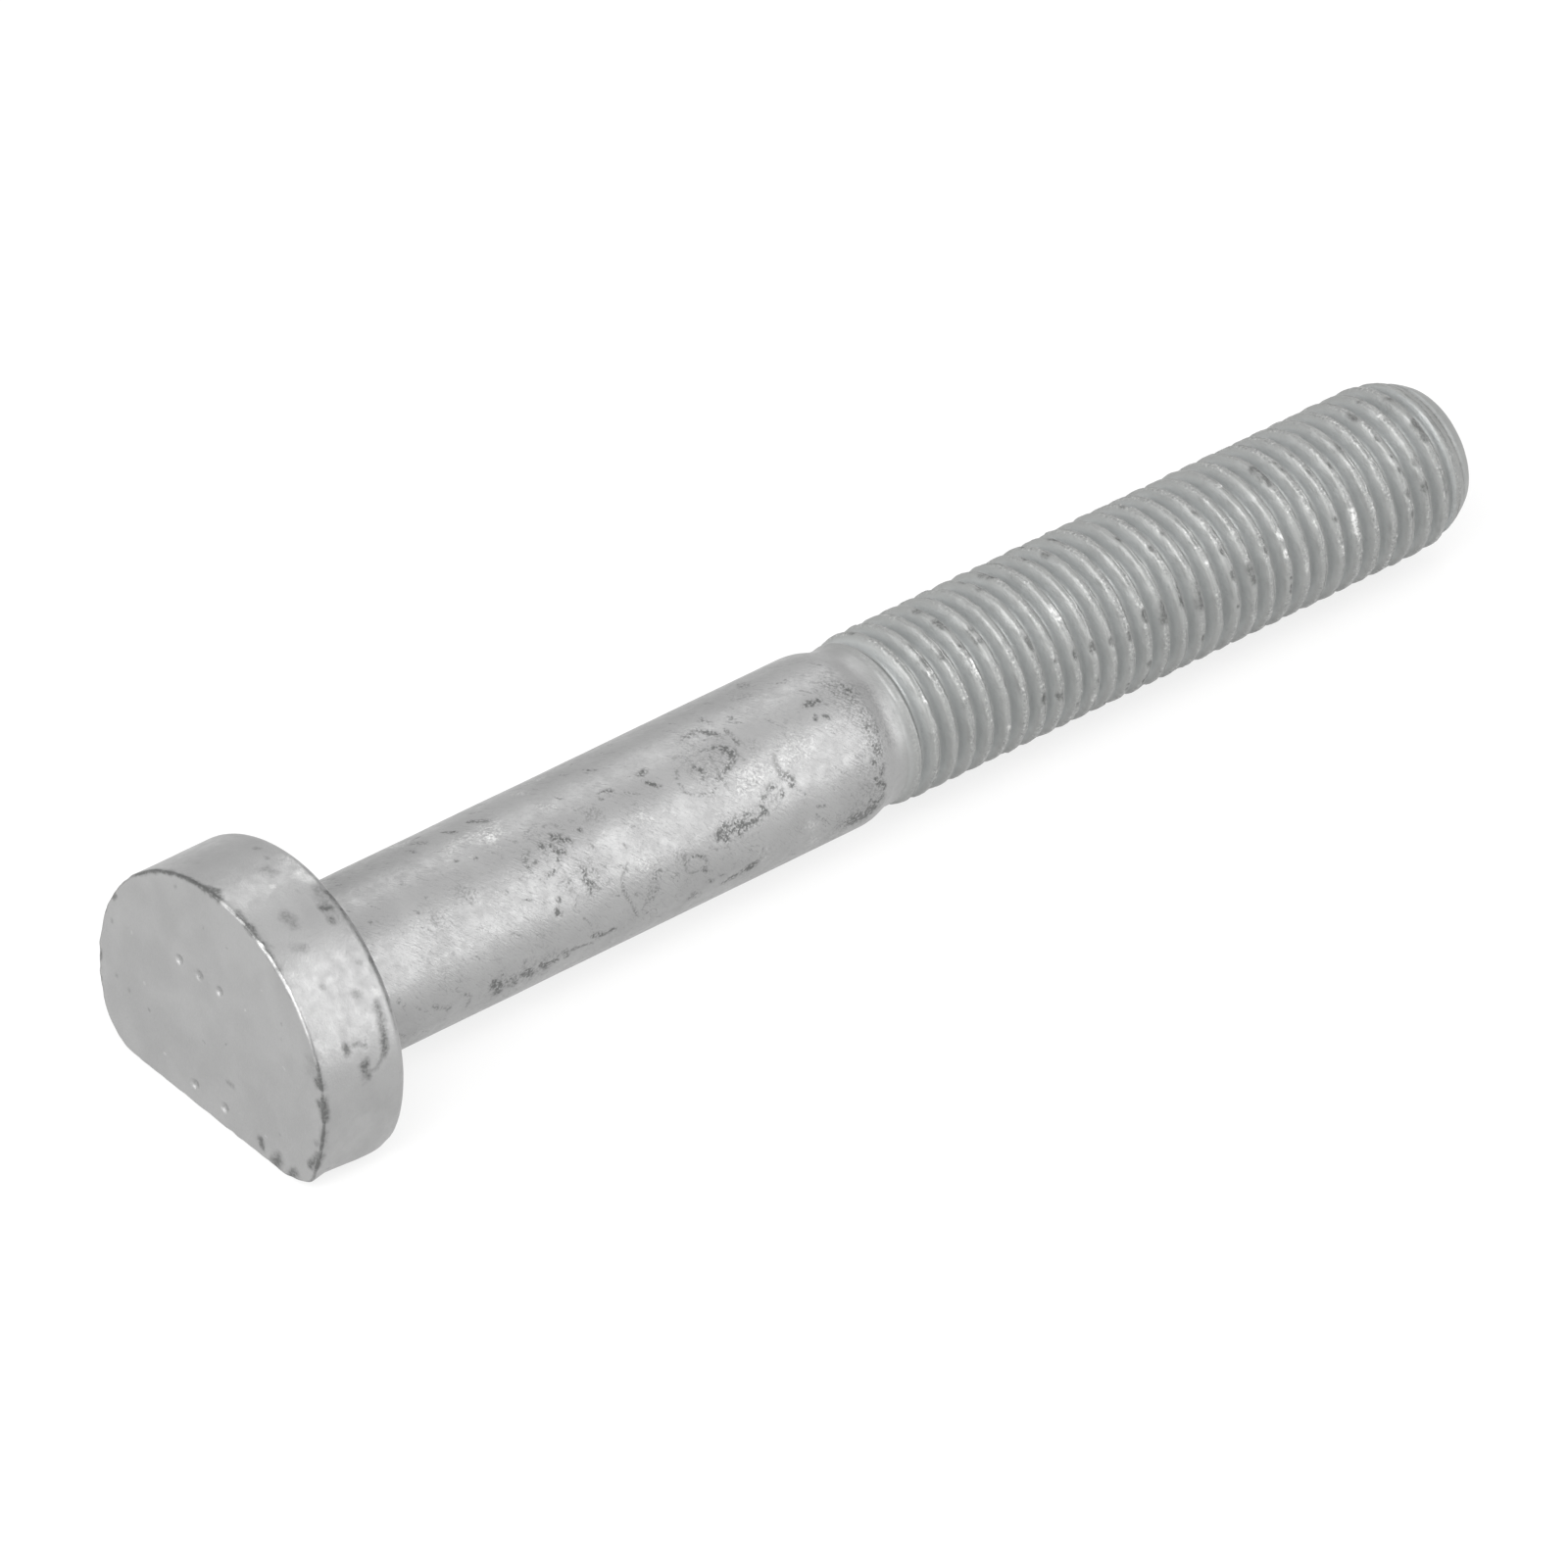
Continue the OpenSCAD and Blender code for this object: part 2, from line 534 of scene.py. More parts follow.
@dataclass(frozen=True)
class Tint:
    """A colour of the coat that shows where a value passes from its start to its full.

    The start may be above the full, for a colour that shows where the value is low. Most
    is its greatest share, and where it is held to a layer, the layer scales the share.
    """

    colour: str
    value: Socket
    start: float
    full: float
    most: float = 1.0
    held_to: Socket | None = None

    def over(self, tree: bpy.types.NodeTree, below: Colour | Socket) -> Socket:
        """Lays this colour over what lies below it.

        Args:
            tree: Node tree of the material.
            below: The colour below, or the socket that gives it.

        Returns:
            The mixed colour.
        """
        ends = {"From Min": self.start, "From Max": self.full, "To Max": self.most}
        share = add_node(tree, Node.RANGE, {**ends, "Value": self.value}).outputs[0]
        if self.held_to is not None:
            product = {"operation": "MULTIPLY", 0: share, 1: self.held_to}
            share = add_node(tree, Node.MATH, product).outputs[0]
        mix = {
            "data_type": "RGBA",
            MixSocket.FACTOR.value: share,
            MixSocket.FIRST.value: below,
            MixSocket.SECOND.value: to_linear(self.colour),
        }
        return add_node(tree, Node.MIX, mix).outputs[MixSocket.RESULT.value]


@dataclass(frozen=True)
class ZincFlakeSteel:
    """Forged steel, dipped and baked in a zinc-flake coat.

    The flakes lie flat in a thin binder, so the eye sees a matt silver grey with a soft
    broad gloss. The coat is feathery where it lies on drawn or forged skin, smooth and
    thick in the roots of the thread, gritty on its crests, and dark where it is thin or
    soiled. Painted light brightens the thread's flanks just above the roots, painted
    shade darkens the bottoms of its grooves, and a painted highlight runs along its crests.
    """

    light_coat: str = "#A2A2A2"
    dark_coat: str = "#9B9B9B"
    thread_coat: str = "#929392"
    # Painted light, low on the thread's flanks just above the roots.
    painted_root_light: str = "#AEB1B1"
    hollow: str = "#6E6F6E"
    scratch: str = "#6F706F"
    # Colour of dirt and dark marks, and of the painted shade.
    soil: str = "#505150"
    # Bare metal, and the painted highlight along the thread's crests.
    bare_edge_and_highlight: str = "#DCDCDB"
    roughness_low: float = 0.36
    roughness_high: float = 0.50
    # Values of the mottle between which the roughness goes from low to high.
    gloss_range: Pair = (0.3, 0.7)
    # Values of the grit over which a mark's strength changes, and by which share of it.
    fleck_range: Pair = (0.36, 0.64)
    fleck_change: Pair = (-0.90, 0.80)
    # The thread scatters this much more than the smooth bar.
    thread_roughness: float = 0.06
    # The binder hides some of the metal, and more of it where the coat lies thick.
    metal_share: float = 0.85
    thread_metal_share: float = 0.60
    # Heights in mm of the relief that each pattern gives the coat.
    mottle_height: float = 0.008
    feather_height: float = 0.028
    grit_height: float = 0.018
    # How much higher the feather stands in scratches, and the grit on crests.
    scratch_rise: float = 1.2
    crest_rise: float = 1.8

    def material(self) -> bpy.types.Material:
        """Builds the coat as a node material.

        Returns:
            The material, which reads the layers that each mesh carries.
        """
        made = bpy.data.materials.new("zinc_flake_steel")
        made.use_nodes = True
        tree = made.node_tree
        place = add_node(tree, Node.PLACE).outputs["Object"]
        flow = add_node(tree, Node.LAYER, {"attribute_name": FLOW}).outputs["Vector"]
        layer = {
            kind: add_node(tree, Node.LAYER, {"attribute_name": kind.value}).outputs["Fac"]
            for kind in Layer
        }
        noise = {}
        for pattern in Pattern:
            lump, detail, distortion = pattern.value
            runs = pattern in (Pattern.FEATHER, Pattern.SCRATCH)
            settings = {
                "Scale": 1 / (lump * MM),
                "Detail": detail,
                "Distortion": distortion,
                "Vector": flow if runs else place,
            }
            noise[pattern] = add_node(tree, Node.NOISE, settings).outputs[0]
        colour: Colour | Socket = to_linear(self.dark_coat)
        for tint in self.tints(tree, layer, noise):
            colour = tint.over(tree, colour)
        gloss = {
            "From Min": self.gloss_range[0],
            "From Max": self.gloss_range[1],
            "To Min": self.roughness_low,
            "To Max": self.roughness_high,
            "Value": noise[Pattern.MOTTLE],
        }
        bar_roughness = add_node(tree, Node.RANGE, gloss).outputs[0]
        thread, less = layer[Layer.THREAD], self.thread_metal_share - self.metal_share
        roughness, metal, torn, gritty = (
            add_node(
                tree, Node.MATH, {"operation": "MULTIPLY_ADD", 0: value, 1: by, 2: plus}
            ).outputs[0]
            for value, by, plus in (
                (thread, self.thread_roughness, bar_roughness),
                (thread, less, self.metal_share),
                (layer[Layer.SCRAWL], self.scratch_rise, layer[Layer.GRAIN]),
                (layer[Layer.CREST], self.crest_rise, 1.0),
            )
        )
        bump = {"Distance": self.mottle_height * MM, "Height": noise[Pattern.MOTTLE]}
        normal = add_node(tree, Node.BUMP, bump).outputs["Normal"]
        for height, value, rise in (
            (self.feather_height, noise[Pattern.FEATHER], torn),
            (self.grit_height, noise[Pattern.GRIT], gritty),
        ):
            product = {"operation": "MULTIPLY", 0: value, 1: rise}
            raised = add_node(tree, Node.MATH, product).outputs[0]
            bump = {"Distance": height * MM, "Height": raised, "Normal": normal}
            normal = add_node(tree, Node.BUMP, bump).outputs["Normal"]
        shader = tree.nodes["Principled BSDF"].inputs
        tree.links.new(colour, shader["Base Color"])
        tree.links.new(metal, shader["Metallic"])
        tree.links.new(roughness, shader["Roughness"])
        tree.links.new(normal, shader["Normal"])
        return made

    def tints(
        self,
        tree: bpy.types.NodeTree,
        layer: dict[Layer, Socket],
        noise: dict[Pattern, Socket],
    ) -> list[Tint]:
        """Lists the colours of the coat and where each one shows.

        Args:
            tree: Node tree of the material.
            layer: The mesh's values.
            noise: The coat's patterns.

        Returns:
            The colours, from the lowest to the topmost.
        """
        # The scratches follow the middle level of a pattern, so they run in thin curls.
        middle = {"operation": "SUBTRACT", 0: noise[Pattern.SCRATCH], 1: 0.5}
        level = add_node(tree, Node.MATH, middle).outputs[0]
        level = add_node(tree, Node.MATH, {"operation": "ABSOLUTE", 0: level}).outputs[0]
        # Marks break up into flecks, and more so on a grainy skin.
        grit, feather = noise[Pattern.GRIT], noise[Pattern.FEATHER]
        ends = {
            "From Min": self.fleck_range[0],
            "From Max": self.fleck_range[1],
            "To Min": self.fleck_change[0],
            "To Max": self.fleck_change[1],
            "Value": grit,
        }
        fleck = add_node(tree, Node.RANGE, ends).outputs[0]
        torn = {"operation": "MULTIPLY_ADD", 0: fleck, 1: layer[Layer.GRAIN], 2: 1.0}
        torn = add_node(tree, Node.MATH, torn).outputs[0]
        # Dark marks with the painted shade, and bright ones with the painted highlight,
        # break up with the grit.
        stained_and_shaded, bared_and_highlit = (
            add_node(
                tree, Node.MATH, {"operation": "MULTIPLY", 0: layer[kind], 1: torn}
            ).outputs[0]
            for kind in (Layer.SOIL, Layer.SHINE)
        )
        return [
            Tint(self.light_coat, noise[Pattern.PATCH], 0.36, 0.64),
            Tint(self.thread_coat, layer[Layer.THREAD], 0.0, 1.0),
            # Painted light low on the thread's flanks, just above the roots.
            Tint(self.painted_root_light, layer[Layer.ROOT], 0.0, 1.0),
            Tint(self.hollow, feather, 0.40, 0.26, 0.30, layer[Layer.GRAIN]),
            Tint(self.scratch, level, 0.022, 0.004, 0.70, layer[Layer.SCRAWL]),
            Tint(self.hollow, grit, 0.46, 0.30, 0.75, layer[Layer.CREST]),
            Tint(self.bare_edge_and_highlight, grit, 0.56, 0.72, 0.55, layer[Layer.CREST]),
            # Dirt and dark marks, the painted shade at the bottoms of the thread's grooves,
            # before the neck and round the head's back rim, and the darker punch marks and
            # front edge of the head.
            Tint(self.soil, stained_and_shaded, 0.10, 0.95, 0.80),
            # Bare metal of chips and scuffs, and the painted highlight along the thread's
            # crests.
            Tint(self.bare_edge_and_highlight, bared_and_highlit, 0.12, 0.90, 0.85),
        ]


@dataclass(frozen=True)
class WhitePaper:
    """Matt white paper sweep, which shows white behind the bolt and keeps its shadow."""

    colour: str = "#F0F0EF"
    # Share of the paper's own shade that the camera sees. The rest is plain white.
    shade_share: float = 0.22

    def material(self) -> bpy.types.Material:
        """Builds the paper as a node material.

        Returns:
            The material: lit paper to the lamps, and mostly white to the camera.
        """
        made = bpy.data.materials.new("white_paper")
        made.use_nodes = True
        tree = made.node_tree
        tree.nodes.remove(tree.nodes["Principled BSDF"])
        lit = add_node(tree, Node.DIFFUSE, {"Color": to_linear(self.colour)}).outputs[0]
        white = add_node(tree, Node.GLOW).outputs[0]
        part = {"operation": "MULTIPLY", 0: seen_ray(tree), 1: 1 - self.shade_share}
        share = add_node(tree, Node.MATH, part).outputs[0]
        mixed = add_node(tree, Node.BLEND, {0: share, 1: lit, 2: white}).outputs[0]
        tree.links.new(mixed, tree.nodes["Material Output"].inputs["Surface"])
        return made


def seen_ray(tree: bpy.types.NodeTree) -> Socket:
    """Tells rays that show the background from rays that light the bolt.

    Args:
        tree: Node tree of a material or world.

    Returns:
        A value of 1 for camera, glossy and transmission rays, and 0 for the rest.
    """
    path = add_node(tree, Node.RAY).outputs
    seen = path["Is Camera Ray"]
    for other in (path["Is Glossy Ray"], path["Is Transmission Ray"]):
        either = {"operation": "MAXIMUM", 0: seen, 1: other}
        seen = add_node(tree, Node.MATH, either).outputs[0]
    return seen


# Meshes

# Points less than this many metres apart are one.
SAME_PLACE = 1e-7


@dataclass
class Skin:
    """A mesh before it is made: points in mm, faces, and one value per point and layer."""

    points: np.ndarray
    faces: list[Sequence[int]]
    layers: dict[Layer, np.ndarray]
    # Places in mm at which the finish reads its running patterns.
    flow: np.ndarray
    # Two faces that meet at more than this many degrees keep a crisp edge.
    crisp: float = 55.0

    def piece(self, name: str, material: bpy.types.Material) -> bpy.types.Object:
        """Makes the object and turns its faces outward.

        Args:
            name: Name of the piece.
            material: Finish of the whole piece.

        Returns:
            The object, linked to the scene, riding on the bolt's body.
        """
        mesh = bpy.data.meshes.new(name)
        mesh.from_pydata((self.points * MM).tolist(), [], self.faces)
        for layer, values in self.layers.items():
            attribute = mesh.attributes.new(layer.value, "FLOAT", "POINT")
            attribute.data.foreach_set("value", values.astype(np.float32))
        flow = mesh.attributes.new(FLOW, "FLOAT_VECTOR", "POINT")
        flow.data.foreach_set("vector", (self.flow * MM).astype(np.float32).ravel())
        shape = bmesh.new()
        shape.from_mesh(mesh)
        bmesh.ops.remove_doubles(shape, verts=shape.verts, dist=SAME_PLACE)
        bmesh.ops.recalc_face_normals(shape, faces=shape.faces)
        for face in shape.faces:
            face.smooth = True
        limit = math.radians(self.crisp)
        for edge in shape.edges:
            edge.smooth = edge.calc_face_angle(0.0) < limit
        loose = [edge for edge in shape.edges if len(edge.link_faces) != 2]
        LOG.info("%s: %d faces, %d open edges", name, len(shape.faces), len(loose))
        shape.to_mesh(mesh)
        shape.free()
        mesh.materials.append(material)
        made = add_object(name, mesh)
        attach(made, BODY)
        return made


def grid_faces(rows: int, columns: int) -> list[Sequence[int]]:
    """Joins rings of points with four-sided faces and closes both ends.

    Args:
        rows: How many rings there are.
        columns: How many points each ring has.

    Returns:
        The faces, as indices of points that run ring by ring.
    """
    row, column = np.meshgrid(np.arange(rows - 1), np.arange(columns), indexing="ij")
    here, after = row * columns + column, row * columns + (column + 1) % columns
    sides = np.stack([here, after, after + columns, here + columns], axis=-1)
    last = (rows - 1) * columns
    ends = [list(range(columns)), list(range(last, last + columns))]
    return [*sides.reshape(-1, 4).tolist(), *ends]


# The head

# Points per radian from which the even steps round the head are read.
ARC_POINTS = 4000
# Points within this distance in mm of the face's plane lie on it.
FLAT_WITHIN = 0.01


@dataclass(frozen=True)
class Punch:
    """One plain round punch mark on the head's face, at y, z in mm.

    The reach is its half width and the depth how far it goes in, both in mm.
    """

    place: Pair
    reach: float = 0.46
    depth: float = 0.20

    def depth_at(self, yz: np.ndarray) -> np.ndarray:
        """Gives how deep this mark is sunk.

        Args:
            yz: Places on the face in mm.

        Returns:
            The depth in mm at each place.
        """
        away = np.linalg.norm(yz - np.array(self.place), axis=1)
        return self.depth * np.exp(-((away / self.reach) ** 4))


@dataclass
class ForgedHead:
    """The D-shaped head: a round side, a flat below, and punch marks on its face."""

    radius: float = 15.2
    thickness: float = 9.2
    flat: float = 8.3
    corner_r: float = 5.0
    face_edge_r: float = 0.3
    back_edge_r: float = 1.0
    around: int = 360
    face_rings: int = 118
    side_rings: int = 42
    back_rings: int = 14
    face_edge_steps: int = 6
    back_edge_steps: int = 8
    # The back face runs in under the shank to this distance from the axis.
    inner_r: float = 7.0
    # The die left one corner by the flat fuller than the other, more so to the back.
    full_corner: float = 206.5
    fullness: Stops = (
        (-9.2, 0.15), (-8.5, 0.20), (-7.0, 0.24), (-5.0, 0.34), (-4.0, 0.41),
        (-3.0, 0.42), (-2.0, 0.37), (-1.0, 0.08), (0.0, -0.1),
    )  # fmt: skip
    # Trimming drew a short burr out of that corner's front edge.
    burr: Stops = ((-9.2, 0.30), (-8.6, 0.18), (-7.6, 0.0))
    # A level row of three near the top of the face, and one of two near the flat.
    punches: tuple[Punch, ...] = (
        *(Punch((y, 5.6)) for y in (4.4, 1.7, -1.0)),
        *(Punch((y, -6.2)) for y in (1.8, -2.2)),
    )
    # Marks on the round side by kind, as size and then, for each stop, its place along
    # the axis and its angle. Most lie along the front edge and along the rim at the
    # back. The lines, blots and hairline at about -0.5 mm round the back rim are
    # painted shade: the dark that the rounded rim reflects.
    side_marks: tuple[Stroke, ...] = (
        *strokes_of(
            Wear.LINE, (1.5, -9.1, 46, -9.12, 60, -9.1, 72, -9.08, 83),
            (1.7, -8.95, 109.5, -8.95, 116, -9, 120, -9.1, 124),
            (1.5, -8.7, 100, -8.85, 104.5, -8.9, 107), (1.7, -2.1, 162, -2.35, 164.5),
            # Painted shade along the back rim.
            (1.2, -0.5, 122, -0.45, 131), (1.2, -0.5, 137, -0.5, 147),
            (1, -0.5, 151.5, -0.45, 158),
        ),
        *strokes_of(
            Wear.BLOT, (1.5, -9.15, 170.5, -9.05, 174, -9, 177.5),
            (1.5, -9.15, 193.5, -9.2, 197.5),
            (1.3, -9.1, 84.5, -8.95, 87.5, -9.1, 91.5), (1.2, -8.9, 106, -8.9, 109.5),
            (0.8, -8.7, 86.5, -8.5, 88), (1.1, -5.95, 156.2, -5.85, 158.2),
            (1.9, -4.5, 165.2, -4.45, 168), (1.1, -2.1, 112, -1.3, 113),
            (1, -2.1, 116.5, -2.1, 117.5), (1.3, -1.85, 153.5, -2, 158.5, -2.1, 162),
            (1.3, -1.8, 147.5, -1.75, 151.5), (1.1, -0.55, 108, -0.45, 115, -0.5, 122),
            (0.9, -0.5, 133, -0.5, 137), (0.8, -0.5, 148, -0.5, 151.5),
        ),
        *strokes_of(
            Wear.CHIP, (0.8, -9.2, 93.5, -9.15, 99.5), (0.5, -9.2, 103, -9.18, 105),
            (0.6, -9.18, 112, -9.15, 115), (0.6, -9.18, 118.5, -9.18, 122.5),
        ),
        *strokes_of(
            Wear.SCUFF, (0.7, -9.1, 130, -9.05, 138, -9.1, 146), (0.8, -4.3, 97),
            (1.7, -1.5, 97, -1.2, 100), (1, -1.5, 143, -1.3, 145),
        ),
        *strokes_of(
            Wear.SMUDGE, (1.5, -9.1, 182, -9.1, 189), (1.4, -9.05, 158.5, -9.05, 165.5),
            (1.6, -6.6, 120, -5.9, 121.5), (1.2, -6.1, 135.3),
            (2, -5.4, 109, -5.2, 112.5), (2, -3.5, 89.2, -3.4, 91.8),
            (1.3, -3, 142.5, -3.4, 141.5), (0.9, -2.1, 77.5, -1.9, 78.5),
            (2, -1.2, 105, -1.4, 109.5),
        ),
        *strokes_of(
            Wear.HAIRLINE, (1.4, -5.6, 156.5, -4.6, 157, -4.1, 158.5),
            (1.6, -4.1, 168, -3.2, 167.5, -2.5, 164.5), (1.1, -0.6, 95, -0.55, 108),
        ),
        *strokes_of(Wear.STAIN, (1, -1.3, 108, -1.2, 120)),
        *strokes_of(Wear.TORN, (1, -1.1, 89, -1, 95)),
    )  # fmt: skip
    # Marks on the face by kind, as size and then y and z of each stop.
    face_marks: tuple[Stroke, ...] = (
        *strokes_of(
            Wear.BLOT, (0.7, 13.1, 7, 13.3, 6.6), (1.3, -14.2, 4.2, -14.5, 3.8),
            (1.4, -14.5, 1.9, -14.9, 1.6), (1.2, -14.3, -4.2, -13.6, -5.1),
            (1.2, -7.05, -6.6, -7.25, -7.2), (1.9, -9.3, -7, -9.1, -7.9),
            (1.5, -11.2, -7.7, -11.6, -7.1),
        ),
        *strokes_of(
            Wear.SMUDGE, (0.9, 5.1, 13), (0.9, 13.4, 4.1), (0.8, 12.6, -1.3),
            (0.9, 10.9, -1.8), (0.7, 8.2, -2.2), (1.1, -14.3, -2.4, -14.6, -2.1),
            (1, -2.44, -3.25, -3.2, -3.2),
        ),
        *strokes_of(Wear.STAIN, (1.2, -13.6, 5.6, -14, 4.6)),
        *strokes_of(
            Wear.LINE, (1.1, -8.3, 12.9, -9, 12.6), (1.2, 14.85, 0.1, 14.85, -0.9),
        ),
        *strokes_of(
            Wear.SCUFF, (0.5, -5.8, 13.8, -6.8, 13.4), (0.5, -10.6, 10.7, -11.4, 9.9),
        ),
    )  # fmt: skip
    side_strewn: tuple[Strewn, ...] = (
        Strewn(Wear.OUTLINE, 10, (-8.6, 0), (-1, 360), 61, (0.2, 0.8)),
        Strewn(Wear.SMUDGE, 14, (-8.6, 0), (-1, 360), 62, sizes=(0.4, 0.9)),
        Strewn(Wear.BLOT, 9, (-9.1, 225), (-9.1, 405), 66, (0.0, 1.5), (0.7, 1.3)),
        Strewn(Wear.BLOT, 7, (-2.0, 210), (-0.6, 405), 67, (0.0, 1.5), (0.6, 1.3)),
    )
    face_strewn: tuple[Strewn, ...] = (
        Strewn(Wear.SMUDGE, 9, (-11, -6), (11, 11), 63, (0, 0), (0.25, 0.45), (0.1, 0.1)),
        Strewn(Wear.SCUFF, 7, (-11, -6), (11, 11), 65, (0, 0), (0.2, 0.4), (0.1, 0.1)),
    )
    # Hammered skin, and the raggedness of the front edge within a reach in mm of it.
    skin: tuple[Lumps, ...] = (Lumps(5.5, 31, 0.026), Lumps(1.7, 32, 0.008))
    ragged_edge: Lumps = Lumps(0.8, 33, 0.06)
    edge_reach: float = 0.6
    # Shares of the normal along the axis over which the side turns into that edge, and
    # the edge into the face.
    edge_start: Pair = (0.05, 0.35)
    edge_end: Pair = (1.0, 0.9)
    # Half widths in degrees of the full corner and of its burr.
    corner_width: float = 9.0
    burr_width: float = 4.0
    # How much darker a punch mark is for each mm of its depth, and how much darker the
    # front edge is but for one stretch, given by its middle and half width in degrees.
    punch_darkening: float = 1.8
    edge_darkening: float = 0.5
    undarkened_edge: Pair = (141.0, 19.0)
    grain: float = 0.3

    def outline(self) -> tuple[np.ndarray, np.ndarray]:
        """Walks the D outline in even steps.

        Returns:
            Points as y, z in mm, and the outward direction at each one.
        """
        drop = self.flat - self.corner_r
        spread = math.sqrt((self.radius - self.corner_r) ** 2 - drop**2)
        start = math.atan2(-drop, spread)
        corner = math.pi / 2 + start
        arcs = [
            ((0.0, 0.0), self.radius, start, math.pi - 2 * start),
            ((-spread, -drop), self.corner_r, math.pi - start, corner),
            ((-spread, -drop), self.corner_r, 1.5 * math.pi, 0.0),
            ((spread, -drop), self.corner_r, 1.5 * math.pi, corner),
        ]
        points, normals = [], []
        for middle, radius, begin, sweep in arcs:
            angles = begin + np.linspace(0, sweep, max(2, int(ARC_POINTS * sweep)))
            unit = np.stack([np.cos(angles), np.sin(angles)], axis=1)
            points.append(np.array(middle) + radius * unit)
            normals.append(unit)
        path, unit = np.concatenate(points), np.concatenate(normals)
        path = np.concatenate([path, path[:1]])
        unit = np.concatenate([unit, unit[:1]])
        length = path_length(path)
        steps = np.linspace(0, length[-1], self.around, endpoint=False)
        places = np.stack([np.interp(steps, length, path[:, i]) for i in (0, 1)], 1)
        outward = np.stack([np.interp(steps, length, unit[:, i]) for i in (0, 1)], 1)
        return places, outward / np.linalg.norm(outward, axis=1, keepdims=True)

    def section(self) -> list[tuple[float, float, float, float]]:
        """Lists the rings from the middle of the face to the shank.

        Returns:
            For each ring its place along the axis, its inset from the outline, how far
            it has shrunk to the middle, and the slope of its normal to the radius.
        """
        rings = []
        for share in np.linspace(1, 0, self.face_rings, endpoint=False)[1:]:
            rings.append((-self.thickness, self.face_edge_r, share, -90.0))
        for angle in np.linspace(-90, 0, self.face_edge_steps):
            turn, r = math.radians(angle), self.face_edge_r
            x = -self.thickness + r * (1 + math.sin(turn))
            rings.append((x, r * (1 - math.cos(turn)), 0.0, angle))
        first, last = -self.thickness + self.face_edge_r, -self.back_edge_r
        for x in np.linspace(first, last, self.side_rings)[1:-1]:
            rings.append((x, 0.0, 0.0, 0.0))
        for angle in np.linspace(0, 90, self.back_edge_steps):
            turn, r = math.radians(angle), self.back_edge_r
            rings.append((-r * (1 - math.sin(turn)), r * (1 - math.cos(turn)), 0.0, angle))
        for share in np.linspace(0, 1, self.back_rings)[1:]:
            rings.append((0.0, self.back_edge_r, share, 90.0))
        return rings

    def swell(self, x: float, polar: np.ndarray) -> np.ndarray:
        """Gives how far the fuller corner and its burr stand out of the D outline.

        Args:
            x: Place along the axis in mm.
            polar: Angles of the outline's points about the axis, in degrees.

        Returns:
            The distance in mm at each point.
        """
        at = np.array([x])
        return sum(
            smooth_curve(stand, at)[0] * bell(polar, self.full_corner, width)
            for stand, width in (
                (self.fullness, self.corner_width),
                (self.burr, self.burr_width),
            )
        )

    def relief(self, place: np.ndarray) -> Relief:
        """Draws the head's marks, and small random ones between them.

        Args:
            place: Points of the head in mm.

        Returns:
            What the marks do at each point.
        """
        relief = Relief.blank(len(place))
        for stroke in (*self.side_marks, *all_strokes(self.side_strewn)):
            relief.draw(place, stroke.on_round(self.radius), stroke)
        for stroke in (*self.face_marks, *all_strokes(self.face_strewn)):
            relief.draw(place, stroke.on_face(-self.thickness), stroke)
        return relief

    def build(self, material: bpy.types.Material) -> bpy.types.Object:
        """Builds the head with its relief.

        Args:
            material: Finish of the head.

        Returns:
            The head as a closed piece.
        """
        outline, outward = self.outline()
        angle = np.arctan2(outline[:, 1], outline[:, 0])
        polar = np.degrees(angle) % 360
        ring_in = self.inner_r * np.stack([np.cos(angle), np.sin(angle)], axis=1)
        points, normals = [], []
        for x, inset, shrink, slope in self.section():
            stand = self.swell(x, polar)[:, None]
            yz = (outline + (stand - inset) * outward) * (1 - shrink)
            if slope > 0:
                yz = yz + ring_in * shrink
            points.append(np.column_stack([np.full(self.around, x), yz]))
            lean = math.radians(slope)
            side = math.cos(lean) * outward
            normals.append(np.column_stack([np.full(self.around, math.sin(lean)), side]))
        place, normal = np.concatenate(points), np.concatenate(normals)
        relief = self.relief(place)
        punched = np.zeros(len(place))
        on_face = np.flatnonzero(place[:, 0] < -self.thickness + FLAT_WITHIN)
        for punch in self.punches:
            punched[on_face] += punch.depth_at(place[on_face, 1:])
        off_face = smooth_step(np.abs(normal[:, 0]), *self.edge_end)
        edge = bell(place[:, 0], -self.thickness, self.edge_reach) * off_face
        wave = sum(lumps.at(place) for lumps in self.skin)
        wave += edge * self.ragged_edge.at(place)
        place = place + normal * (wave - relief.depth - punched)[:, None]
        bevel = smooth_step(-normal[:, 0], *self.edge_start) * off_face
        bevel *= 1 - np.tile(bell(polar, *self.undarkened_edge), len(points))
        # The punch marks darken with depth, and the front edge darkens but for one stretch.
        relief.soil += self.punch_darkening * punched + self.edge_darkening * bevel
        faces = grid_faces(len(points), self.around)
        skin = Skin(place, faces, relief.layers(self.grain), place)
        return skin.piece("forged_head", material)


# The bar: a plain shank, a neck and a rolled thread

# Steps in which the sheet's length and its end face are worked out.
FINE_STEPS = 12001
END_STEPS = 80
# A radius in mm below this is the axis itself.
ON_AXIS = 0.01
# Least sine of an angle below the axis, so that the flat doesn't reach the upper side.
LEAST_SINE = 1e-6


